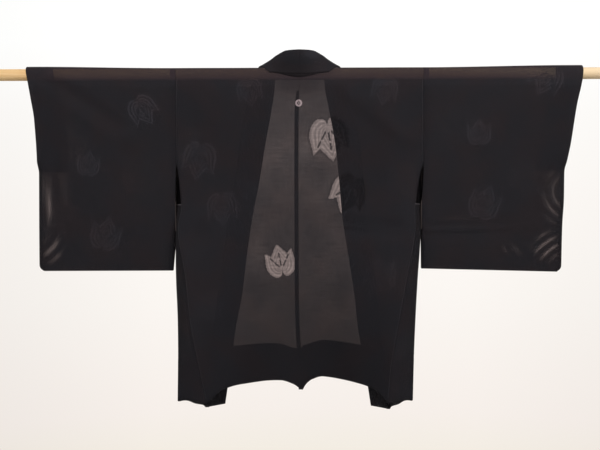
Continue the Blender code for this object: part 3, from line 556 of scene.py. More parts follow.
def silk_gauze(
    name, leaves=(), clear=GROUND_CLEAR, bands=(), clouds=(), painted_shades=(), mark=None, paint_rod_glow=True
):
    """Silk gauze dyed black: dull, nearly colourless, with light passing between its threads.

    Leaves are woven in with fewer crossings, so more light passes there. Uneven threads make fine bars
    across and streaks along, and the dye has taken a little redder in wide cloudy patches. The clouds are
    patches where less or more light passes, with painted shade by the neck and towards the hem. The shading
    patches are painted shade and painted highlight in the colour, and over the rod the colour is painted
    paler for the wood's light shining through the gauze.
    """
    material, tree, surface = new_material(name)
    cloth = add(tree, "UVMap", uv_map="cloth")
    patches = add(tree, "TexNoise", {"Vector": cloth, "Scale": PATCH_SCALE, "Detail": 2.0})
    warp_scale = (1 / WEFT_PITCH, 1 / SLUB_LENGTH, 1)
    weft_scale = (1 / SLUB_LENGTH, 1 / WEFT_PITCH, 1)
    warp_place = add(tree, "Mapping", {0: cloth, 3: warp_scale})
    weft_place = add(tree, "Mapping", {0: cloth, 3: weft_scale})
    warp = add(tree, "TexNoise", {"Vector": warp_place, "Scale": THREAD_SCALE, "Detail": 1.0})
    weft = add(tree, "TexNoise", {"Vector": weft_place, "Scale": THREAD_SCALE, "Detail": 1.0})
    threads = add(tree, "Math MULTIPLY_ADD", (weft, WEFT_SHARE, warp))
    slubs = add(tree, "MapRange", (threads, *SLUBS))
    parts = [add(tree, "MapRange", (patches, *PATCHES)), clear]
    if clouds:
        # painted shade: less light passes by the neck and towards the hem, and the patches let less or more
        # pass
        down = add(tree, "SeparateXYZ", (cloth,)).node.outputs[1]
        parts += [add(tree, "MapRange", (down, a, b, 1.0, least)) for a, b, least in PAINTED_SHADE_ROWS]
        parts += [soft_patch(tree, cloth, cloud) for cloud in clouds]
    passes = slubs
    for part in parts:
        passes = add(tree, "Math MULTIPLY", (passes, part))
    if bands:
        passes = shimmer(tree, passes, bands)
    redder = add(tree, "MapRange", (patches, *PLUM_PATCHES))
    dyed = {0: redder, 6: linear(GAUZE_BLACK), 7: linear(GAUZE_PLUM)}
    colour = add(tree, "Mix", dyed, 2, data_type="RGBA")
    if leaves:
        leaf, vein, rim, ripple, clearness, dye = leaf_mixture(tree, cloth, leaves)
        veins = add(tree, "MapRange", (vein, *VEIN_PASSES))
        lines = add(tree, "MapRange", (ripple, *RIPPLE_PASSES))
        open_leaf = clearness
        for part in (slubs, veins, lines):
            open_leaf = add(tree, "Math MULTIPLY", (open_leaf, part))
        edge = add(tree, "MapRange", (rim, *RIM_PASSES))
        passes = add(tree, "Math MULTIPLY", (passes, edge))
        passes = add(tree, "Mix", {0: leaf, 2: passes, 3: open_leaf})
        drawn = add(tree, "MapRange", (ripple, *RIPPLE_DYE))
        open_vein = add(tree, "MapRange", (vein, 0.0, 1.0, 1.0, 0.0))
        for part in (open_vein, leaf):
            drawn = add(tree, "Math MULTIPLY", (drawn, part))
        tone = add(tree, "Mix", {0: drawn, 2: 1.0, 3: dye}, clamp_factor=False)
        colour = add(tree, "VectorMath SCALE", {0: colour, "Scale": tone})
    shown = add(tree, "Math SUBTRACT", (1.0, passes), use_clamp=True)
    if mark:
        centred = add(tree, "Mapping", (cloth, (*mark, 0)), vector_type="TEXTURE")
        reach = add(tree, "VectorMath LENGTH", (centred,), "Value")
        ring = add(tree, "Math COMPARE", (reach, MARK_RING, MARK_LINE))
        dot = add(tree, "Math LESS_THAN", (reach, MARK_DOT))
        undyed = add(tree, "Math ADD", (ring, dot), use_clamp=True)
        colour = add(tree, "Mix", {0: undyed, 6: colour, 7: linear(MARK_SILK)}, 2, data_type="RGBA")
    place = add(tree, "TexCoord", out="Object")
    x, _, height = add(tree, "SeparateXYZ", (place,)).node.outputs
    facing = add(tree, "CombineXYZ", (x, height))
    # painted shade and painted highlight: soft patches that darken or lighten the colour
    for shade in painted_shades:
        left = soft_patch(tree, facing, shade)
        colour = add(tree, "VectorMath SCALE", {0: colour, "Scale": left})
    # painted light: over the rod the colour is painted paler, for the wood's light shining through the gauze
    if paint_rod_glow:
        aside = add(tree, "Math ABSOLUTE", (x,))
        single = add(tree, "MapRange", (aside, *CUFF_DOUBLES, 1.0, CUFF_GLOW_SHARE))
        wood = add(tree, "MapRange", (height, *ROD_GLOW_BAND), interpolation_type="SMOOTHSTEP")
        wood = add(tree, "Math MULTIPLY", (wood, single))
        colour = add(tree, "Mix", {0: wood, 6: colour, 7: linear(GAUZE_PAINTED_BACKLIGHT)}, 2, data_type="RGBA")
    high = add(tree, "Math GREATER_THAN", (height, OVER_ROD_Z))
    shadow = add(tree, "LightPath", out="Is Shadow Ray")
    let_by = add(tree, "Math MULTIPLY", (high, shadow))
    shown = add(tree, "Math SUBTRACT", (shown, let_by), use_clamp=True)
    relief = add(tree, "Bump", {"Height": threads, "Strength": 0.2, "Distance": 0.0003})
    finish = {"Base Color": colour, "Alpha": shown, "Normal": relief, "Roughness": 0.75, "IOR": 1.5}
    connect(tree, surface, finish)
    connect(tree, surface, {"Specular IOR Level": 0.08, "Sheen Weight": 0.03, "Sheen Roughness": 0.4})
    return material


BODY_LEAVES = {  # u from the centre seam, v from the rod's axis, negative down the back
    "left": table(
        Leaf,
        (0.0440, -0.4378, 0.060, -12, 0.40, 0.9), (0.114, -0.047, 0.056, 170, 0.23, 1.40),
        (0.232, -0.207, 0.076, -170, 0.22, 1.36), (0.178, -0.319, 0.068, 176, 0.22, 1.34),
        (0.215, -0.536, 0.060, 30, 0.22, 1.25), (0.140, 0.210, 0.070, 15, 0.27, 1.0),
        (0.100, 0.440, 0.075, -160, 0.27, 1.0), (0.070, 0.660, 0.070, 40, 0.27, 1.0),
    ),
    "right": table(
        Leaf,
        (0.0740, -0.1560, 0.079, -170, 0.40, 0.80), (0.1195, -0.2845, 0.073, 158, 0.40, 0.84),
        (0.199, -0.045, 0.058, 170, 0.23, 1.40), (0.193, -0.482, 0.070, 160, 0.22, 1.20),
        (0.110, 0.300, 0.070, -20, 0.27, 1.0), (0.090, 0.520, 0.075, 160, 0.27, 1.0),
        (0.060, 0.700, 0.070, -30, 0.27, 1.0),
    ),
}
CLOUDS = {  # patches where less or more light passes; each side's first is painted shade below the collar
    "left": table(
        Cloud,
        (0.0000, -0.012, 0.090, 0.046, 0.60), (0.1000, -0.424, 0.026, 0.050, 1.14),
        (0.1090, -0.510, 0.042, 0.048, 0.89), (0.0180, -0.500, 0.018, 0.050, 0.93),
    ),
    "right": table(
        Cloud,
        (0.0000, -0.012, 0.090, 0.046, 0.60), (0.0175, -0.176, 0.022, 0.036, 1.14),
        (0.0480, -0.222, 0.056, 0.024, 0.90), (0.0620, -0.295, 0.040, 0.040, 1.10),
        (0.1110, -0.508, 0.032, 0.050, 0.87), (0.0300, -0.400, 0.034, 0.080, 0.95),
    ),
}
HEM_PAINTED_SHADE = Cloud(0.0, -0.70, 0.34, 0.28, 0.76)  # painted shade: darker towards the middle of the hem, where less light reaches


def towards_gusset(side, f, from_back):
    """(along the gusset from this edge, towards the inside of the jacket) at f."""
    back, front = side_point(BACK_SIDE, side, f), side_point(FRONT_SIDE, side, f)
    along = (front - back).normalized()
    inside = along.cross(Vector((0, 0, 1))).normalized() * -SIDES[side]
    return (along if from_back else -along), inside


def body_grid(side):
    """The points of one body panel, with the rows' and columns' kinds."""
    sign = SIDES[side]
    falls = fall_steps()
    turned = [f for f in falls if f > TURN_UP_SHARE - SAME]
    rows = [("back", f, 1.0) for f in turned]
    rows += [("back", 1.0, 0.5)]
    rows += [("back", f, 0.0) for f in falls[::-1]]
    rows += [("rod", 1 - i / ROD_ROWS, 0.0) for i in range(1, ROD_ROWS)]
    rows += [("front", f, 0.0) for f in falls]
    rows += [("front", 1.0, 0.5)]
    rows += [("front", f, 1.0) for f in turned[::-1]]
    columns = [("centre", CENTRE_ALLOWANCE), ("centre", EDGE_STEP)] if side == "right" else []
    columns += [("neck", i / NECK_COLUMNS) for i in range(NECK_COLUMNS)]
    columns += [("shoulder", i / SHOULDER_COLUMNS) for i in range(SHOULDER_COLUMNS + 1)]
    columns += [("side", EDGE_STEP), ("side", 1.0), ("return", 0.1)]

    def on_panel(kind, f, share):
        """share runs from 0 at the neck's edge to 1 at the side."""
        if kind == "back":
            return back_point(side, lerp(NECK_SHARE, 1, share), f)
        return (rod_point if kind == "rod" else front_point)(side, share, f)

    def point(row, column):
        (kind, f, inner), (part, at) = row, column
        into = {"back": Vector((0, 1, 0)), "front": Vector((0, -1, 0))}.get(kind)
        if part == "centre":
            spot = back_point(side, 0.0, f if kind == "back" else 0.0)
            width = at * lerp(0.5, 1.0, smooth((KNOT_Z - spot.z) / KNOT_FADE))
            spot += Vector((-width, ALLOWANCE_OFF, 0))
        elif part == "neck" and kind == "back":
            spot = back_point(side, NECK_SHARE * at, f)
        elif part == "neck":
            # the allowance that the collar takes in: up from the back neck, and out from the front edge
            if kind == "rod":
                spot = back_point(side, NECK_SHARE * at, 0.0) + Vector((0, -LAYER_STEP / 2, COLLAR_ALLOWANCE))
            else:
                spot = front_point(side, 0.0, f) - Vector((sign * COLLAR_ALLOWANCE, 0, 0))
        elif part == "shoulder":
            spot = on_panel(kind, f, at)
        else:
            spot = on_panel(kind, f, 1.0)
            z = f * SIDE_HEM_Z
            sewn_to_gusset = z < (GUSSET_TOP_Z if kind == "front" else ARMHOLE_END_Z) - SAME
            if kind != "rod" and sewn_to_gusset:
                along, inside = towards_gusset(side, f, kind == "back")
                reach = SEAM_ALLOWANCE
            else:
                turned_in = kind == "front" and z < ARMHOLE_END_Z - SAME
                along, inside = Vector((-sign if turned_in else sign, 0, 0)), into
                reach = SLEEVE_ALLOWANCE
                if kind == "rod":
                    inside = Vector((0, -spot.y, -spot.z)).normalized() * ROUND_ROD
            spot = spot + along * reach * at + inside * LAYER_STEP * (2 if part == "return" else 1)
        if inner and into:
            spot = spot + into * LAYER_STEP * inner
            if inner == 0.5:
                spot.z -= FOLD_OUT
        return spot

    grid = [[point(row, column) for column in columns] for row in rows]
    return rows, columns, grid


Stitch = namedtuple("Stitch", "pitch length radius")
RUNNING_STITCH = Stitch(0.0045, 0.0024, 0.00035)
STITCHED_FROM, STITCHED_TO = 0.025, 0.985  # the shares of the fall where they start and end
STITCH_LINES = {"back": 0.990, "front": 0.985}  # their places across
UPPER_STEPS, LOWER_STEPS = 24, 40  # the points on the lines beside the sleeve and beside the gusset
STITCH_OUT = 0.8  # of its radius, so that it sits a little in the cloth
BAR_TACK = Stitch(0.0012, 0.0016, 0.0007)  # the bar of thread that strengthens the top of each gusset
TACK_UP = 0.6  # of the wall
SILK_THREAD = "#262327"
# painted highlight of the black thread, mixed in by noise along the twist
SILK_THREAD_PAINTED_HIGHLIGHT = "#363237"
TACK_THREAD = "#6C666A"
TWISTS = 900.0  # to a metre


def stitching():
    """Straight stitches at an even pitch along every line of the mesh that comes in."""
    tree = bpy.data.node_groups.new("stitching", "GeometryNodeTree")
    for name, way, kind in (
        ("Geometry", "OUTPUT", "Geometry"),
        ("Seams", "INPUT", "Geometry"),
        ("Pitch", "INPUT", "Float"),
        ("Length", "INPUT", "Float"),
        ("Thread radius", "INPUT", "Float"),
        ("Thread", "INPUT", "Material"),
    ):
        tree.interface.new_socket(name, in_out=way, socket_type="NodeSocket" + kind)
    given = add(tree, "NodeGroupInput").node.outputs
    seams = add(tree, "GeometryNodeMeshToCurve", {"Mesh": given["Seams"]})
    pitch = {"Curve": seams, "Length": given["Pitch"]}
    spots = add(tree, "GeometryNodeResampleCurve", pitch, mode="LENGTH")
    along = add(tree, "GeometryNodeInputTangent")
    turned = add(tree, "FunctionNodeAlignRotationToVector", {"Vector": along}, axis="Z")
    sizes = {"Vertices": 6, "Radius": given["Thread radius"], "Depth": given["Length"]}
    stitch = add(tree, "GeometryNodeMeshCylinder", sizes)
    placed = {"Points": spots, "Instance": stitch, "Rotation": turned}
    row = add(tree, "GeometryNodeInstanceOnPoints", placed)
    row = add(tree, "GeometryNodeRealizeInstances", {"Geometry": row})
    row = add(tree, "GeometryNodeSetMaterial", {"Geometry": row, "Material": given["Thread"]})
    add(tree, "NodeGroupOutput", {"Geometry": row})
    return tree


STITCHING = stitching()


def silk_thread(name, dark, painted_highlight):
    """Twisted silk sewing thread, painted lighter in small spots: a painted highlight where the twist turns
    to the light.
    """
    material, tree, surface = new_material(name)
    place = add(tree, "TexCoord", out="Object")
    twist = add(tree, "TexNoise", {"Vector": place, "Scale": TWISTS, "Detail": 1.0})
    colour = add(tree, "Mix", {0: twist, 6: linear(dark), 7: linear(painted_highlight)}, 2, data_type="RGBA")
    relief = add(tree, "Bump", {"Height": twist, "Strength": 0.3, "Distance": 0.0001})
    connect(tree, surface, {"Base Color": colour, "Normal": relief, "Roughness": 0.5, "IOR": 1.5})
    return material


BLACK_THREAD = silk_thread("black_silk_thread", SILK_THREAD, SILK_THREAD_PAINTED_HIGHLIGHT)
PALE_THREAD = silk_thread("pale_silk_thread", TACK_THREAD, TACK_THREAD)


def sew(name, seams, stitch, thread):
    """Stitches along the seams, each a list of points, as one plain mesh."""
    points, edges = [], []
    for seam in seams:
        edges += [(len(points) + i, len(points) + i + 1) for i in range(len(seam) - 1)]
        points += seam
    mesh = bpy.data.meshes.new(name + "_lines")
    mesh.from_pydata(points, edges, [])
    lines = bpy.data.objects.new(name + "_lines", mesh)
    bpy.context.scene.collection.objects.link(lines)
    sewn = lines.modifiers.new("stitching", "NODES")
    sewn.node_group = STITCHING
    inputs = {item.name: item.identifier for item in STITCHING.interface.items_tree if item.in_out == "INPUT"}
    for key, value in zip(("Pitch", "Length", "Thread radius", "Thread"), (*stitch, thread)):
        sewn[inputs[key]] = value
    finished = lines.evaluated_get(bpy.context.evaluated_depsgraph_get())
    stitches = bpy.data.objects.new(name, bpy.data.meshes.new_from_object(finished))
    bpy.context.scene.collection.objects.link(stitches)
    bpy.data.objects.remove(lines)
    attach(stitches, "root")
    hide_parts("body_" + name.split("_")[-1])
    return stitches


def side_seams(side):
    """Just inside the side edges, on the outer faces: where the sleeve and the gusset are sewn on."""
    out = Vector((0, GAUZE_WALL / 2 + RUNNING_STITCH.radius * STITCH_OUT, 0))
    to_sleeve = steps_between((STITCHED_FROM, ARMHOLE_END), [UPPER_STEPS])
    to_gusset = steps_between((GUSSET_TOP, STITCHED_TO), [LOWER_STEPS])
    runs = (to_sleeve, to_gusset)
    backs = [[back_point(side, STITCH_LINES["back"], f) - out for f in falls] for falls in runs]
    return backs + [[front_point(side, STITCH_LINES["front"], f) + out for f in falls] for falls in runs]


def gusset_tack(side):
    """Across the top of the gusset, from the back's edge to the front's."""
    up = Vector((0, 0, BAR_TACK.radius + GAUZE_WALL * TACK_UP))
    return [side_point(line, side, GUSSET_TOP) + up for line in (BACK_SIDE, FRONT_SIDE)]


for side in SIDES:
    rows, columns, grid = body_grid(side)

    def keep(row, column):
        """Leaves out the neck, the snips where an allowance turns over, and those inside the turn-ups."""
        (kind, f, inner), (next_kind, next_f, next_inner) = rows[row], rows[row + 1]
        part, next_part = columns[column][0], columns[column + 1][0]
        folded = inner or next_inner
        by_arm = ARMHOLE_END + SAME < min(f, next_f) < GUSSET_TOP - SAME
        if next_part == "return":
            return kind == next_kind == "front" and by_arm
        if part == "centre":
            below_knot = min(f, next_f) > KNOT_Z / CENTRE_HEM_Z
            return kind == next_kind == "back" and not folded and below_knot
        if next_part == "side":
            sewn = max(f, next_f) <= ARMHOLE_END + SAME or min(f, next_f) >= GUSSET_TOP - SAME
            turned_in = kind == "front" and by_arm
            return "rod" in (kind, next_kind) or (sewn or turned_in) and not folded
        if part == "neck" and kind != "back":
            return kind == next_kind == "front" and next_part == "shoulder" and not folded
        return True

    first = next(i for i, row in enumerate(rows) if row[0] == "rod") - 1
    centre_column = next(i for i, column in enumerate(columns) if column[0] == "neck")
    material = silk_gauze(
        "silk_gauze_body_" + side, BODY_LEAVES[side], clouds=CLOUDS[side], painted_shades=[HEM_PAINTED_SHADE], mark=MARK
    )
    body = cut_cloth("body_cloth_" + side, grid, (first, centre_column), GAUZE_WALL, material, keep)
    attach(body, "root")
    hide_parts("body_" + side)
    sewing = sew("side_stitches_" + side, side_seams(side), RUNNING_STITCH, BLACK_THREAD)
    tack = sew("gusset_tack_" + side, [gusset_tack(side)], BAR_TACK, PALE_THREAD)


# ---- The gussets -----------------------------------------------------------------------------------------
# A long wedge of the same gauze on each side, sewn between the back and the front from under the arm to
# the hem, where it too is turned up. It lets the jacket widen over the hips.

GUSSET_HEM = table(  # from the back's side edge to the front's
    Hem,
    (0.00, -0.748), (0.30, -0.744), (0.70, -0.743), (1.00, -0.748),
)
GUSSET_BOW = 0.004
GUSSET_BOW_OVER = 0.2  # the share of the fall over which it grows
GUSSET_COLUMNS = 14


def gusset_point(side, across, f, inner):
    back, front = side_point(BACK_SIDE, side, f), side_point(FRONT_SIDE, side, f)
    point = back.lerp(front, across)
    below_arm = smooth((f - GUSSET_TOP) / GUSSET_BOW_OVER)
    point.x += SIDES[side] * GUSSET_BOW * below_arm * math.sin(math.pi * across)
    point.z += (read(GUSSET_HEM, across, "z") - SIDE_HEM_Z) * f**4
    inside = towards_gusset(side, f, True)[1]
    point += inside * LAYER_STEP * inner
    if inner == 0.5:
        point.z -= FOLD_OUT
    return point


for side in SIDES:
    falls = [f for f in fall_steps() if f > GUSSET_TOP - SAME]
    turned = [f for f in falls if f > TURN_UP_SHARE - SAME]
    rows = [(f, 0.0) for f in falls] + [(1.0, 0.5)] + [(f, 1.0) for f in turned[::-1]]
    grid = [
        [gusset_point(side, i / GUSSET_COLUMNS, f, inner) for i in range(GUSSET_COLUMNS + 1)]
        for f, inner in rows
    ]
    material = silk_gauze("silk_gauze_gusset_" + side)
    gusset = cut_cloth("gusset_cloth_" + side, grid, (0, 0), GAUZE_WALL, material)
    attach(gusset, "root")
    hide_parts("gusset_" + side)


# ---- The sleeves -----------------------------------------------------------------------------------------
# Each is one length folded over the rod, sewn to the body down to the armhole's end and open below it.
# The outer edge is open at the wrist, with a wide turning inside, and sewn up from there to the rounded
# corner. A narrower turning lies along the bottom.

SLEEVE_OUTER = {
    "left": table(
        Edge,
        (0.015, 0.6365, 0), (-0.056, 0.6235, 0), (-0.108, 0.6150, 0), (-0.211, 0.6095, 0),
        (-0.330, 0.6095, 0), (-0.458, 0.6090, 0),
    ),
    "right": table(
        Edge,
        (0.018, 0.659, 0), (-0.009, 0.657, 0), (-0.075, 0.6430, 0), (-0.164, 0.6285, 0),
        (-0.222, 0.6185, 0), (-0.295, 0.6170, 0), (-0.355, 0.6130, 0), (-0.461, 0.6100, 0),
    ),
}
SLEEVE_INNER = {
    "left": table(
        Edge,
        (0.000, 0.288, 0), (-0.208, 0.288, 0), (-0.260, 0.2895, 0), (-0.370, 0.291, 0), (-0.458, 0.297, 0),
    ),
    "right": table(
        Edge,
        (0.000, 0.288, 0), (-0.208, 0.288, 0), (-0.235, 0.2878, 0), (-0.300, 0.2845, 0),
        (-0.370, 0.2838, 0), (-0.453, 0.2838, 0),
    ),
}
Bottom = namedtuple("Bottom", "inner outer")  # the heights of its two ends
SLEEVE_BOTTOM = {"left": Bottom(-0.4585, -0.4585), "right": Bottom(-0.4555, -0.4640)}
SLEEVE_CORNER = 0.015
SLEEVE_FOOT = 0.0012  # how far the fold along its bottom stands below the layers
WRIST_END_Z = -0.213
CUFF_TURNING = 0.063
CUFF_TURNING_END_Z = -0.227
INNER_TURNING = 0.011
BOTTOM_TURNING = 0.047
SLEEVE_HALF_DEPTH = table(  # y is how far each layer hangs from the rod's plane
    Edge,
    (0.000, 0, 0.0148), (-0.120, 0, 0.0146), (-0.208, 0, 0.0136), (-0.300, 0, 0.0110), (-0.400, 0, 0.0075),
    (-0.461, 0, 0.0042),
)
SLEEVE_FOLDS = {
    "left": table(
        Fold,
        (0.572, -0.020, 0.425, -0.125, 0.020, -0.0066), (0.520, -0.075, 0.400, -0.150, 0.022, 0.0040),
        (0.520, -0.230, 0.400, -0.330, 0.050, 0.0025), (0.590, -0.150, 0.560, -0.430, 0.030, -0.0020),
        (0.300, -0.010, 0.345, -0.100, 0.014, 0.0015),
    ),
    "right": table(
        Fold,
        (0.288, -0.366, 0.470, -0.362, 0.022, -0.0025), (0.560, -0.030, 0.440, -0.140, 0.040, 0.0025),
        (0.585, -0.180, 0.500, -0.380, 0.040, 0.0025),
    ),
}
SLEEVE_CREASES = {
    "left": table(Fold, (0.300, -0.409, 0.600, -0.410, 0.0030, 0.0004)),
    "right": table(
        Fold,
        (0.290, -0.366, 0.470, -0.3625, 0.0042, 0.0036), (0.470, -0.3625, 0.600, -0.350, 0.0042, 0.0018),
    ),
}
SLEEVE_COLUMNS = 58
TURNING_COLUMNS = 10
SLEEVE_ROWS = (34, 2, 4, 32, 8, 6)  # to each of the heights in sleeve_depths
INNER_COLUMNS = 4  # of the inner turning and its fold, before the sleeve's own
SEAM_COLUMNS = 3  # the fold and the seam's allowance, next after the sleeve's own
ARMHOLE_FOOT_ROWS = (12, 24)  # below the cuff turning's end
SLEEVE_SEAM_HOLDS = 0.12  # the share of the width beside a seam in which the folds die away
ROD_HOLDS, BOTTOM_HOLDS = 0.03, 0.06  # and the same in metres below the rod and above the bottom
LAYERS_MEET_GAP = 0.0008  # the seam below the wrist draws the two layers in to this far from the middle
LAYERS_MEET_WIDTH = 0.06  # over this share of the width
SEWN_FROM, SEWN_OVER = 0.012, 0.03  # from this far above the wrist's end down, over this much
WANDER_SHARE, WANDER_RISE = 0.05, 0.04  # the cloth wanders from here, across and up
BOTTOM_ROWS = 6
SLEEVE_LEAVES = {  # u from the sleeve seam, v from the rod's axis, positive down the back and on round
    "left": table(
        Leaf,
        (0.073, 0.087, 0.062, 35, 0.22, 1.60), (0.201, 0.208, 0.050, 175, 0.22, 1.46),
        (0.159, 0.370, 0.068, 165, 0.22, 1.40), (0.080, 0.690, 0.080, 20, 0.27, 1.0),
        (0.260, 0.760, 0.075, -150, 0.27, 1.0),
    ),
    "right": table(
        Leaf,
        (0.127, 0.137, 0.052, 180, 0.22, 1.48), (0.145, 0.300, 0.070, -160, 0.22, 1.38),
        (0.282, 0.018, 0.072, 30, 0.22, 1.38), (0.080, 0.820, 0.080, 20, 0.27, 1.0),
        (0.250, 0.700, 0.075, -30, 0.27, 1.0),
    ),
}

Bands = namedtuple("Bands", "x z half_x half_z centre_x centre_z spacing strength bend")
DRIFT_SCALE = 9.0  # the noise that bends the bands
CREST_FROM = -0.9  # of the wave between them, which runs from -1 to 1
ZONE_CORE = 0.3  # the share of a zone's half sizes inside which they are at full strength


def shimmer(tree, ground, bands):
    """Where the two layers lie close, their threads line up in soft bands, and more light passes there."""
    spot = add(tree, "TexCoord", out="Object")
    flat = add(tree, "VectorMath MULTIPLY", (spot, (1, 0, 1)))
    drift = add(tree, "TexNoise", {"Vector": flat, "Scale": DRIFT_SCALE, "Detail": 0.0})
    for band in bands:
        centre = (band.centre_x, 0, band.centre_z)
        reach = add(tree, "VectorMath DISTANCE", (flat, centre), "Value")
        turns = add(tree, "Math MULTIPLY", (reach, 2 * math.pi / band.spacing))
        bent = add(tree, "Math MULTIPLY_ADD", (drift, band.bend, turns))
        wave = add(tree, "Math SINE", (bent,))
        crest = add(tree, "MapRange", (wave, CREST_FROM, 1.0), interpolation_type="SMOOTHSTEP")
        laid = {0: flat, 1: (band.x, 0, band.z), 3: (band.half_x, 1, band.half_z)}
        zone = add(tree, "Mapping", laid, vector_type="TEXTURE")
        out = add(tree, "VectorMath LENGTH", (zone,), "Value")
        ends = (out, 1.0, ZONE_CORE, 0.0, band.strength)
        fade = add(tree, "MapRange", ends, interpolation_type="SMOOTHSTEP")
        ground = add(tree, "Math MULTIPLY_ADD", (crest, fade, ground))
    return ground


SLEEVE_BANDS = {
    "left": table(
        Bands,
        (-0.5940, -0.290, 0.018, 0.105, -1.200, -0.260, 0.0243, 0.33, 9),
        (-0.572, -0.275, 0.050, 0.100, -1.200, -0.400, 0.048, 0.14, 4),
        (-0.580, -0.408, 0.034, 0.048, -0.660, -0.340, 0.026, 0.30, 6),
    ),
    "right": table(
        Bands,
        (0.591, -0.285, 0.030, 0.092, 0.650, -0.280, 0.0200, 0.36, 7),
        (0.578, -0.405, 0.042, 0.052, 0.645, -0.490, 0.0200, 0.33, 4),
        (0.505, -0.412, 0.070, 0.024, 0.650, -0.330, 0.0240, 0.14, 9),
        (0.370, -0.345, 0.090, 0.020, 0.380, 0.600, 0.0240, 0.10, 2),
    ),
}


def sleeve_outer_x(side, z, bottom):
    x = read(SLEEVE_OUTER[side], z, "x")
    up = min((z - bottom) / SLEEVE_CORNER, 1.0)
    return x - SLEEVE_CORNER * (1 - math.sqrt(max(1 - (1 - up) ** 2, 0.0)))


def sleeve_depths(bottom):
    """The heights of the rows down a layer."""
    marks = (0.0, ARMHOLE_END_Z, WRIST_END_Z, CUFF_TURNING_END_Z)
    marks += tuple(bottom + rise for rise in (BOTTOM_TURNING, SLEEVE_CORNER, SLEEVE_FOOT))
    return steps_between(marks, SLEEVE_ROWS)


def sleeve_point(side, share, level, facing):
    """On a layer of the sleeve; facing is -1 on the back's side and 1 on the front's."""
    bottom = lerp(SLEEVE_BOTTOM[side].inner, SLEEVE_BOTTOM[side].outer, share)
    z = sleeve_depths(bottom)[level]
    x = lerp(read(SLEEVE_INNER[side], z, "x"), sleeve_outer_x(side, z, bottom), share)
    y = read(SLEEVE_HALF_DEPTH, z, "y")
    inside = smooth(min(share, 1 - share) / SLEEVE_SEAM_HOLDS) * smooth((z - bottom) / BOTTOM_HOLDS)
    lift = inside * fold_height(SLEEVE_FOLDS[side], x, z) + fold_height(SLEEVE_CREASES[side], x, z)
    lift += wander(x, z, 3 + facing) * smooth(share / WANDER_SHARE) * smooth((z - bottom) / WANDER_RISE)
    y += lift * smooth(-z / ROD_HOLDS)
    sewn = smooth((WRIST_END_Z + SEWN_FROM - z) / SEWN_OVER)
    drawn_in = smooth((1 - share) / LAYERS_MEET_WIDTH) ** 0.5
    y = lerp(y, lerp(LAYERS_MEET_GAP, y, drawn_in), sewn)
    return Vector((SIDES[side] * x, facing * y, z))


def sleeve_over_rod(side, share, turn):
    start, end = sleeve_point(side, share, 0, 1), sleeve_point(side, share, 0, -1)
    point = start.lerp(end, (1 - math.cos(math.pi * turn)) / 2)
    top_x = lerp(SLEEVE_SEAM_X, SLEEVE_OUTER[side][0].x, share)
    point.x = SIDES[side] * lerp(abs(point.x), top_x, math.sin(math.pi * turn))
    point.z = top_rise(point.x) * math.sin(math.pi * turn)
    return point


for side in SIDES:
    levels = sum(SLEEVE_ROWS)
    loop = [("back", level) for level in range(levels + 1)]
    loop += [("bottom", i / BOTTOM_ROWS) for i in range(1, BOTTOM_ROWS)]
    loop += [("front", level) for level in range(levels, -1, -1)]
    loop += [("rod", i / ROD_ROWS) for i in range(1, ROD_ROWS)]
    loop += [("back", 0)]

    def loop_point(kind, at, share):
        if kind == "bottom":
            start, end = sleeve_point(side, share, levels, -1), sleeve_point(side, share, levels, 1)
            point = start.lerp(end, (1 - math.cos(math.pi * at)) / 2)
            point.z -= SLEEVE_FOOT * math.sin(math.pi * at)
            return point
        if kind == "rod":
            return sleeve_over_rod(side, share, at)
        return sleeve_point(side, share, at, -1 if kind == "back" else 1)

    def inward(kind, at):
        """Towards the inside of the sleeve."""
        if kind in ("back", "front"):
            return Vector((0, 1 if kind == "back" else -1, 0))
        if kind == "bottom":
            return Vector((0, math.cos(math.pi * at), math.sin(math.pi * at)))
        return Vector((0, -math.cos(math.pi * at), -math.sin(math.pi * at))) * ROUND_ROD

    grid = []
    for kind, at in loop:
        line = [loop_point(kind, at, i / SLEEVE_COLUMNS) for i in range(SLEEVE_COLUMNS + 1)]
        width = (line[-1] - line[0]).length
        into = inward(kind, at) * LAYER_STEP
        line.append(line[-1] + into / 2 + Vector((SIDES[side] * FOLD_OUT, 0, 0)))
        for i in range(TURNING_COLUMNS + 1):
            further = (i - 1) / (TURNING_COLUMNS - 1)
            reach = lerp(SEAM_ALLOWANCE, CUFF_TURNING, further) if i else 0.0
            line.append(loop_point(kind, at, 1 - reach / width) + into)
        edge = line[0] + into / 2 - Vector((SIDES[side] * FOLD_OUT, 0, 0))
        folded = [loop_point(kind, at, INNER_TURNING / width * i / 2) + into for i in (2, 1, 0)]
        grid.append(folded + [edge] + line)

    turning_level = sum(SLEEVE_ROWS[:3])
    foot_start, foot_end = (turning_level + rows for rows in ARMHOLE_FOOT_ROWS)

    def keep(row, column):
        """The cuff's turning ends a little below the wrist, and only the seam's allowance goes on from there.

        On the front the inner turning is left out by the foot of the armhole.
        """
        (kind, at), (next_kind, next_at) = loop[row], loop[row + 1]
        if column < INNER_COLUMNS:
            by_foot = max(at, next_at) > foot_start and min(at, next_at) < foot_end
            return kind == next_kind == "back" or kind == next_kind == "front" and not by_foot
        past = column - INNER_COLUMNS - SLEEVE_COLUMNS
        if past < 0 or "bottom" in (kind, next_kind):
            return past < 0
        seam = past < SEAM_COLUMNS and kind == next_kind == "back"
        return seam or "rod" in (kind, next_kind) or max(at, next_at) <= turning_level

    material = silk_gauze("silk_gauze_sleeve_" + side, SLEEVE_LEAVES[side], bands=SLEEVE_BANDS[side])
    zero = (0, INNER_COLUMNS)
    sleeve = cut_cloth("sleeve_cloth_" + side, grid, zero, GAUZE_WALL, material, keep, loop=True)
    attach(sleeve, "root")
    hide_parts("sleeve_" + side)


# ---- The collar ------------------------------------------------------------------------------------------
# A long band of doubled gauze, sewn round the neck and down both front edges and folded outward along its
# length. It is made in two halves that are joined at the centre back, and stands up behind the neck.

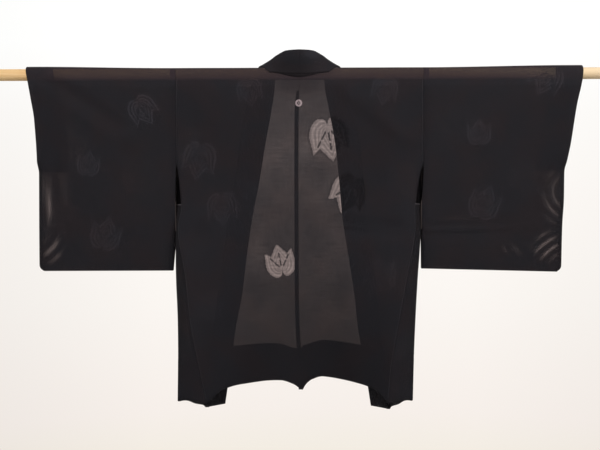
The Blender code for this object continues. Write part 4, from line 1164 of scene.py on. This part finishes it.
COLLAR_WALL = 0.0016  # a flattened tube: its two faces are its two thicknesses of gauze
COLLAR_CLEAR = 0.05
COLLAR_PAINTED_LIGHT = table(  # painted shade behind the neck, and a painted highlight to the right of its top
    Cloud,
    (-0.016, 0.010, 0.058, 0.046, 0.60), (0.030, 0.046, 0.024, 0.014, 1.45),
)
Crease = namedtuple("Crease", "step x y z share lift")
COLLAR_CREASE = table(
    Edges,
    (0.012, 0.0580, 0.0580, 0.026), (-0.030, 0.0602, 0.0612, 0.028), (-0.068, 0.0655, 0.0685, 0.027),
    (-0.163, 0.0830, 0.0855, 0.029), (-0.258, 0.099, 0.0955, 0.034), (-0.331, 0.114, 0.102, 0.040),
    (-0.426, 0.129, 0.117, 0.050), (-0.523, 0.142, 0.132, 0.060), (-0.602, 0.158, 0.141, 0.069),
    (-0.680, 0.169, 0.155, 0.078), (-0.795, 0.187, 0.1745, 0.095),
)
NECK_CREASE = table(  # step 0 is the front at the rod's height, 1 the back there, 2 the centre back
    Crease,
    (0.00, 0.0580, 0.0260, 0.0120, 0.950, 0.0012), (0.25, 0.0600, 0.0190, 0.0245, 0.970, 0.0010),
    (0.50, 0.0620, 0.0095, 0.0340, 1.000, 0.0010), (0.75, 0.0570, 0.0030, 0.0395, 1.060, 0.0028),
    (1.00, 0.0500, -0.0020, 0.0438, 1.030, 0.0030), (1.25, 0.0420, -0.0050, 0.0480, 1.005, 0.0035),
    (1.50, 0.0325, -0.0075, 0.0520, 0.970, 0.0045), (1.75, 0.0180, -0.0090, 0.0537, 0.925, 0.0055),
    (2.00, 0.0000, -0.0095, 0.0545, 0.900, 0.0060),
)
FOLD_RADIUS = 0.00125
FRONT_LEAF_SHARE = 0.97
FRONT_LIFT = 0.0006
COLLAR_SEAM_INSET = 0.0003
COLLAR_ROD_RISE = 0.0008
NECK_STAND_OFF = 0.0006
NECK_BULGE = 0.0045
NECK_BLEND = 0.12  # the share of the front over which the neck's folding changes to the front's
BEHIND_FROM, BEHIND_OVER = 0.6, 0.5  # the steps of NECK_CREASE where it comes to stand off behind the neck
LEAF_COLUMNS = 12
CREASE_COLUMNS = 6
NECK_STATIONS = 56
COLLAR_SHORT = 0.006  # its fold ends this far above the front's hem
COLLAR_STATIONS = 110  # down the front


def collar_seam_point(side, place, at):
    if place == "front":
        return side_point(COLLAR_SEAM, side, at, FRONT_HEM_Z[side])
    if at <= 1.0:
        point = rod_point(side, 0.0, at)
        point.z += COLLAR_ROD_RISE * math.sin(math.pi * at)
        return point
    return back_point(side, lerp(NECK_SHARE, 0.0, at - 1.0), 0.0)


def collar_crease_point(side, place, at):
    if place == "front":
        return side_point(COLLAR_CREASE, side, at, FRONT_HEM_Z[side] + COLLAR_SHORT)
    x, y, z = (read(NECK_CREASE, at, column) for column in ("x", "y", "z"))
    return Vector((SIDES[side] * x, y, z))


for side in SIDES:
    sign = SIDES[side]
    front_steps = [i / COLLAR_STATIONS for i in range(COLLAR_STATIONS, 0, -1)]
    neck_steps = [2 * i / NECK_STATIONS for i in range(NECK_STATIONS + 1)]
    stations = [("front", f) for f in front_steps] + [("neck", s) for s in neck_steps]
    seams = [collar_seam_point(side, *station) for station in stations]
    creases = [collar_crease_point(side, *station) for station in stations]
    middles = [(a + b) / 2 for a, b in zip(seams, creases)]
    last = len(stations) - 1
    outward = []
    for i in range(last + 1):
        run = middles[min(i + 2, last)] - middles[max(i - 2, 0)]
        outward.append(run.cross(creases[i] - seams[i]).normalized() * -sign)
    outward[last] = Vector((0, outward[last].y, outward[last].z)).normalized()

    def band_point(row, column):
        (kind, at), seam, crease, out = stations[row], seams[row], creases[row], outward[row]
        across = (crease - seam).normalized()
        round_neck = 1.0 if kind == "neck" else 1 - smooth(at / NECK_BLEND)
        step = at if kind == "neck" else 0.0
        lift = lerp(FRONT_LIFT, read(NECK_CREASE, step, "lift"), round_neck)
        share = lerp(FRONT_LEAF_SHARE, read(NECK_CREASE, step, "share"), round_neck)
        width = (crease - seam).length
        behind_neck = smooth((at - BEHIND_FROM) / BEHIND_OVER) if kind == "neck" else 0.0
        if column <= LEAF_COLUMNS:
            share_in = column / LEAF_COLUMNS
            point = seam + across * lerp(COLLAR_SEAM_INSET, width - FOLD_RADIUS, share_in)
            point += out * behind_neck * (NECK_STAND_OFF + NECK_BULGE * math.sin(math.pi * share_in))
        elif column < LEAF_COLUMNS + CREASE_COLUMNS:
            angle = math.pi * (column - LEAF_COLUMNS) / CREASE_COLUMNS
            reach = width - FOLD_RADIUS + FOLD_RADIUS * math.sin(angle)
            point = seam + across * reach + out * FOLD_RADIUS * (1 - math.cos(angle))
        else:
            back_along = (column - LEAF_COLUMNS - CREASE_COLUMNS) / LEAF_COLUMNS
            reach = lerp(width - FOLD_RADIUS, width * (1 - share), back_along)
            point = seam + across * reach + out * (2 * FOLD_RADIUS + lift * back_along**1.5)
        if row == last:
            point.x = 0.0
        return point

    columns = range(2 * LEAF_COLUMNS + CREASE_COLUMNS + 1)
    grid = [[band_point(row, column) for column in columns] for row in range(last + 1)]
    material = silk_gauze(
        "silk_gauze_collar_" + side, clear=COLLAR_CLEAR, painted_shades=COLLAR_PAINTED_LIGHT, paint_rod_glow=False
    )
    collar = cut_cloth("collar_band_" + side, grid, (last, 0), COLLAR_WALL, material)
    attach(collar, "root")
    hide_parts("collar_" + side)


# ---- The studio ------------------------------------------------------------------------------------------
# A pale floor well below the jacket, a white surround that falls off a little downwards and to the sides,
# and three large soft lamps: two high in front, to the right and the left, and one behind.

FLOOR_Z = -1.60
FLOOR_PAINT = "#E9E6E1"
SURROUND = (  # its colour at each share of the way up, in linear light
    (0.00, (0.870, 0.820, 0.740, 1)),
    (0.08, (0.895, 0.845, 0.765, 1)),
    (0.17, (0.925, 0.865, 0.820, 1)),
    (0.42, (0.965, 0.925, 0.885, 1)),
    (0.66, (1.000, 0.965, 0.930, 1)),
    (0.85, (1.020, 1.000, 0.975, 1)),
    (1.00, (1.060, 1.060, 1.050, 1)),
)
SURROUND_LOW, SURROUND_HIGH = -0.36, 0.24  # the steepness of sight at its two ends
SURROUND_SIDES = ((-0.20, -0.41, 0.925), (0.24, 0.41, 0.955))  # from, to, and what is left there
SURROUND_LIGHTS = 0.42  # its strength as a lamp, where 1 is how it looks
CAMERA_DISTANCE = 1.60
CAMERA_Z = -0.353
CAMERA_LENS = 41.03
CAMERA_ROLL = 0.19  # degrees
LAMPS = (  # name, place, size and watts
    ("lamp_high_right", (1.6, -2.4, 1.5), 1.4, 78),
    ("lamp_high_left", (-1.9, -2.2, 1.2), 1.4, 42),
    ("lamp_front_side", (0.6, 2.6, 1.4), 1.6, 30),
)
LAMPS_AIM = Vector((0, 0, -0.35))
DYE_PASSES = (1.20, 0.98, 0.955)  # black-dyed silk lets a little more red light through it

floor_mesh = bpy.data.meshes.new("studio_floor")
corners = [(x, y, FLOOR_Z) for x, y in ((-1.5, -1.5), (1.5, -1.5), (1.5, 1.5), (-1.5, 1.5))]
floor_mesh.from_pydata(corners, [], [(0, 1, 2, 3)])
floor = bpy.data.objects.new("studio_floor", floor_mesh)
bpy.context.scene.collection.objects.link(floor)
floor_paint, tree, surface = new_material("pale_floor")
connect(tree, surface, {"Base Color": linear(FLOOR_PAINT), "Roughness": 0.9})
floor_mesh.materials.append(floor_paint)

world = bpy.data.worlds.new("white_surround")
world.use_nodes = True
tree = world.node_tree
looking = add(tree, "TexCoord", out="Generated")
aside, _, height = add(tree, "SeparateXYZ", (looking,)).node.outputs
down = add(tree, "MapRange", (height, SURROUND_LOW, SURROUND_HIGH))
bright = add(tree, "ValToRGB", (down,))
ramp = bright.node.color_ramp.elements
for element, (position, colour) in zip(ramp, (SURROUND[0], SURROUND[-1])):
    element.position, element.color = position, colour
for position, colour in SURROUND[1:-1]:
    ramp.new(position).color = colour
for inner, outer, least in SURROUND_SIDES:
    less = add(tree, "MapRange", (aside, inner, outer, 1.0, least))
    bright = add(tree, "VectorMath SCALE", {0: bright, "Scale": less})
passed = add(tree, "LightPath", out="Transparent Depth")
passed = add(tree, "Math GREATER_THAN", (passed, 0.5))
reddened = add(tree, "VectorMath MULTIPLY", (bright, DYE_PASSES))
seen_through = add(tree, "Mix", {0: passed, 6: bright, 7: reddened}, 2, data_type="RGBA")
looked_at = add(tree, "LightPath", out="Is Camera Ray")
strength = add(tree, "MapRange", (looked_at, 0.0, 1.0, SURROUND_LIGHTS, 1.0))
connect(tree, tree.nodes["Background"], {"Color": seen_through, "Strength": strength})
bpy.context.scene.world = world

for name, place, size, energy in LAMPS:
    lamp_data = bpy.data.lights.new(name, "AREA")
    lamp_data.size = size
    lamp_data.energy = energy
    lamp = bpy.data.objects.new(name, lamp_data)
    lamp.location = place
    lamp.rotation_euler = (LAMPS_AIM - lamp.location).to_track_quat("-Z", "Y").to_euler()
    bpy.context.scene.collection.objects.link(lamp)

camera_data = bpy.data.cameras.new("camera")
camera_data.lens = CAMERA_LENS
camera_data.sensor_width = 36
camera = bpy.data.objects.new("camera", camera_data)
camera.matrix_world = (
    Matrix.Translation((0, -CAMERA_DISTANCE, CAMERA_Z))
    @ Matrix.Rotation(math.radians(CAMERA_ROLL), 4, "Y")
    @ Matrix.Rotation(math.pi / 2, 4, "X")
)
bpy.context.scene.collection.objects.link(camera)
bpy.context.scene.camera = camera
bpy.context.scene.view_settings.view_transform = "Standard"
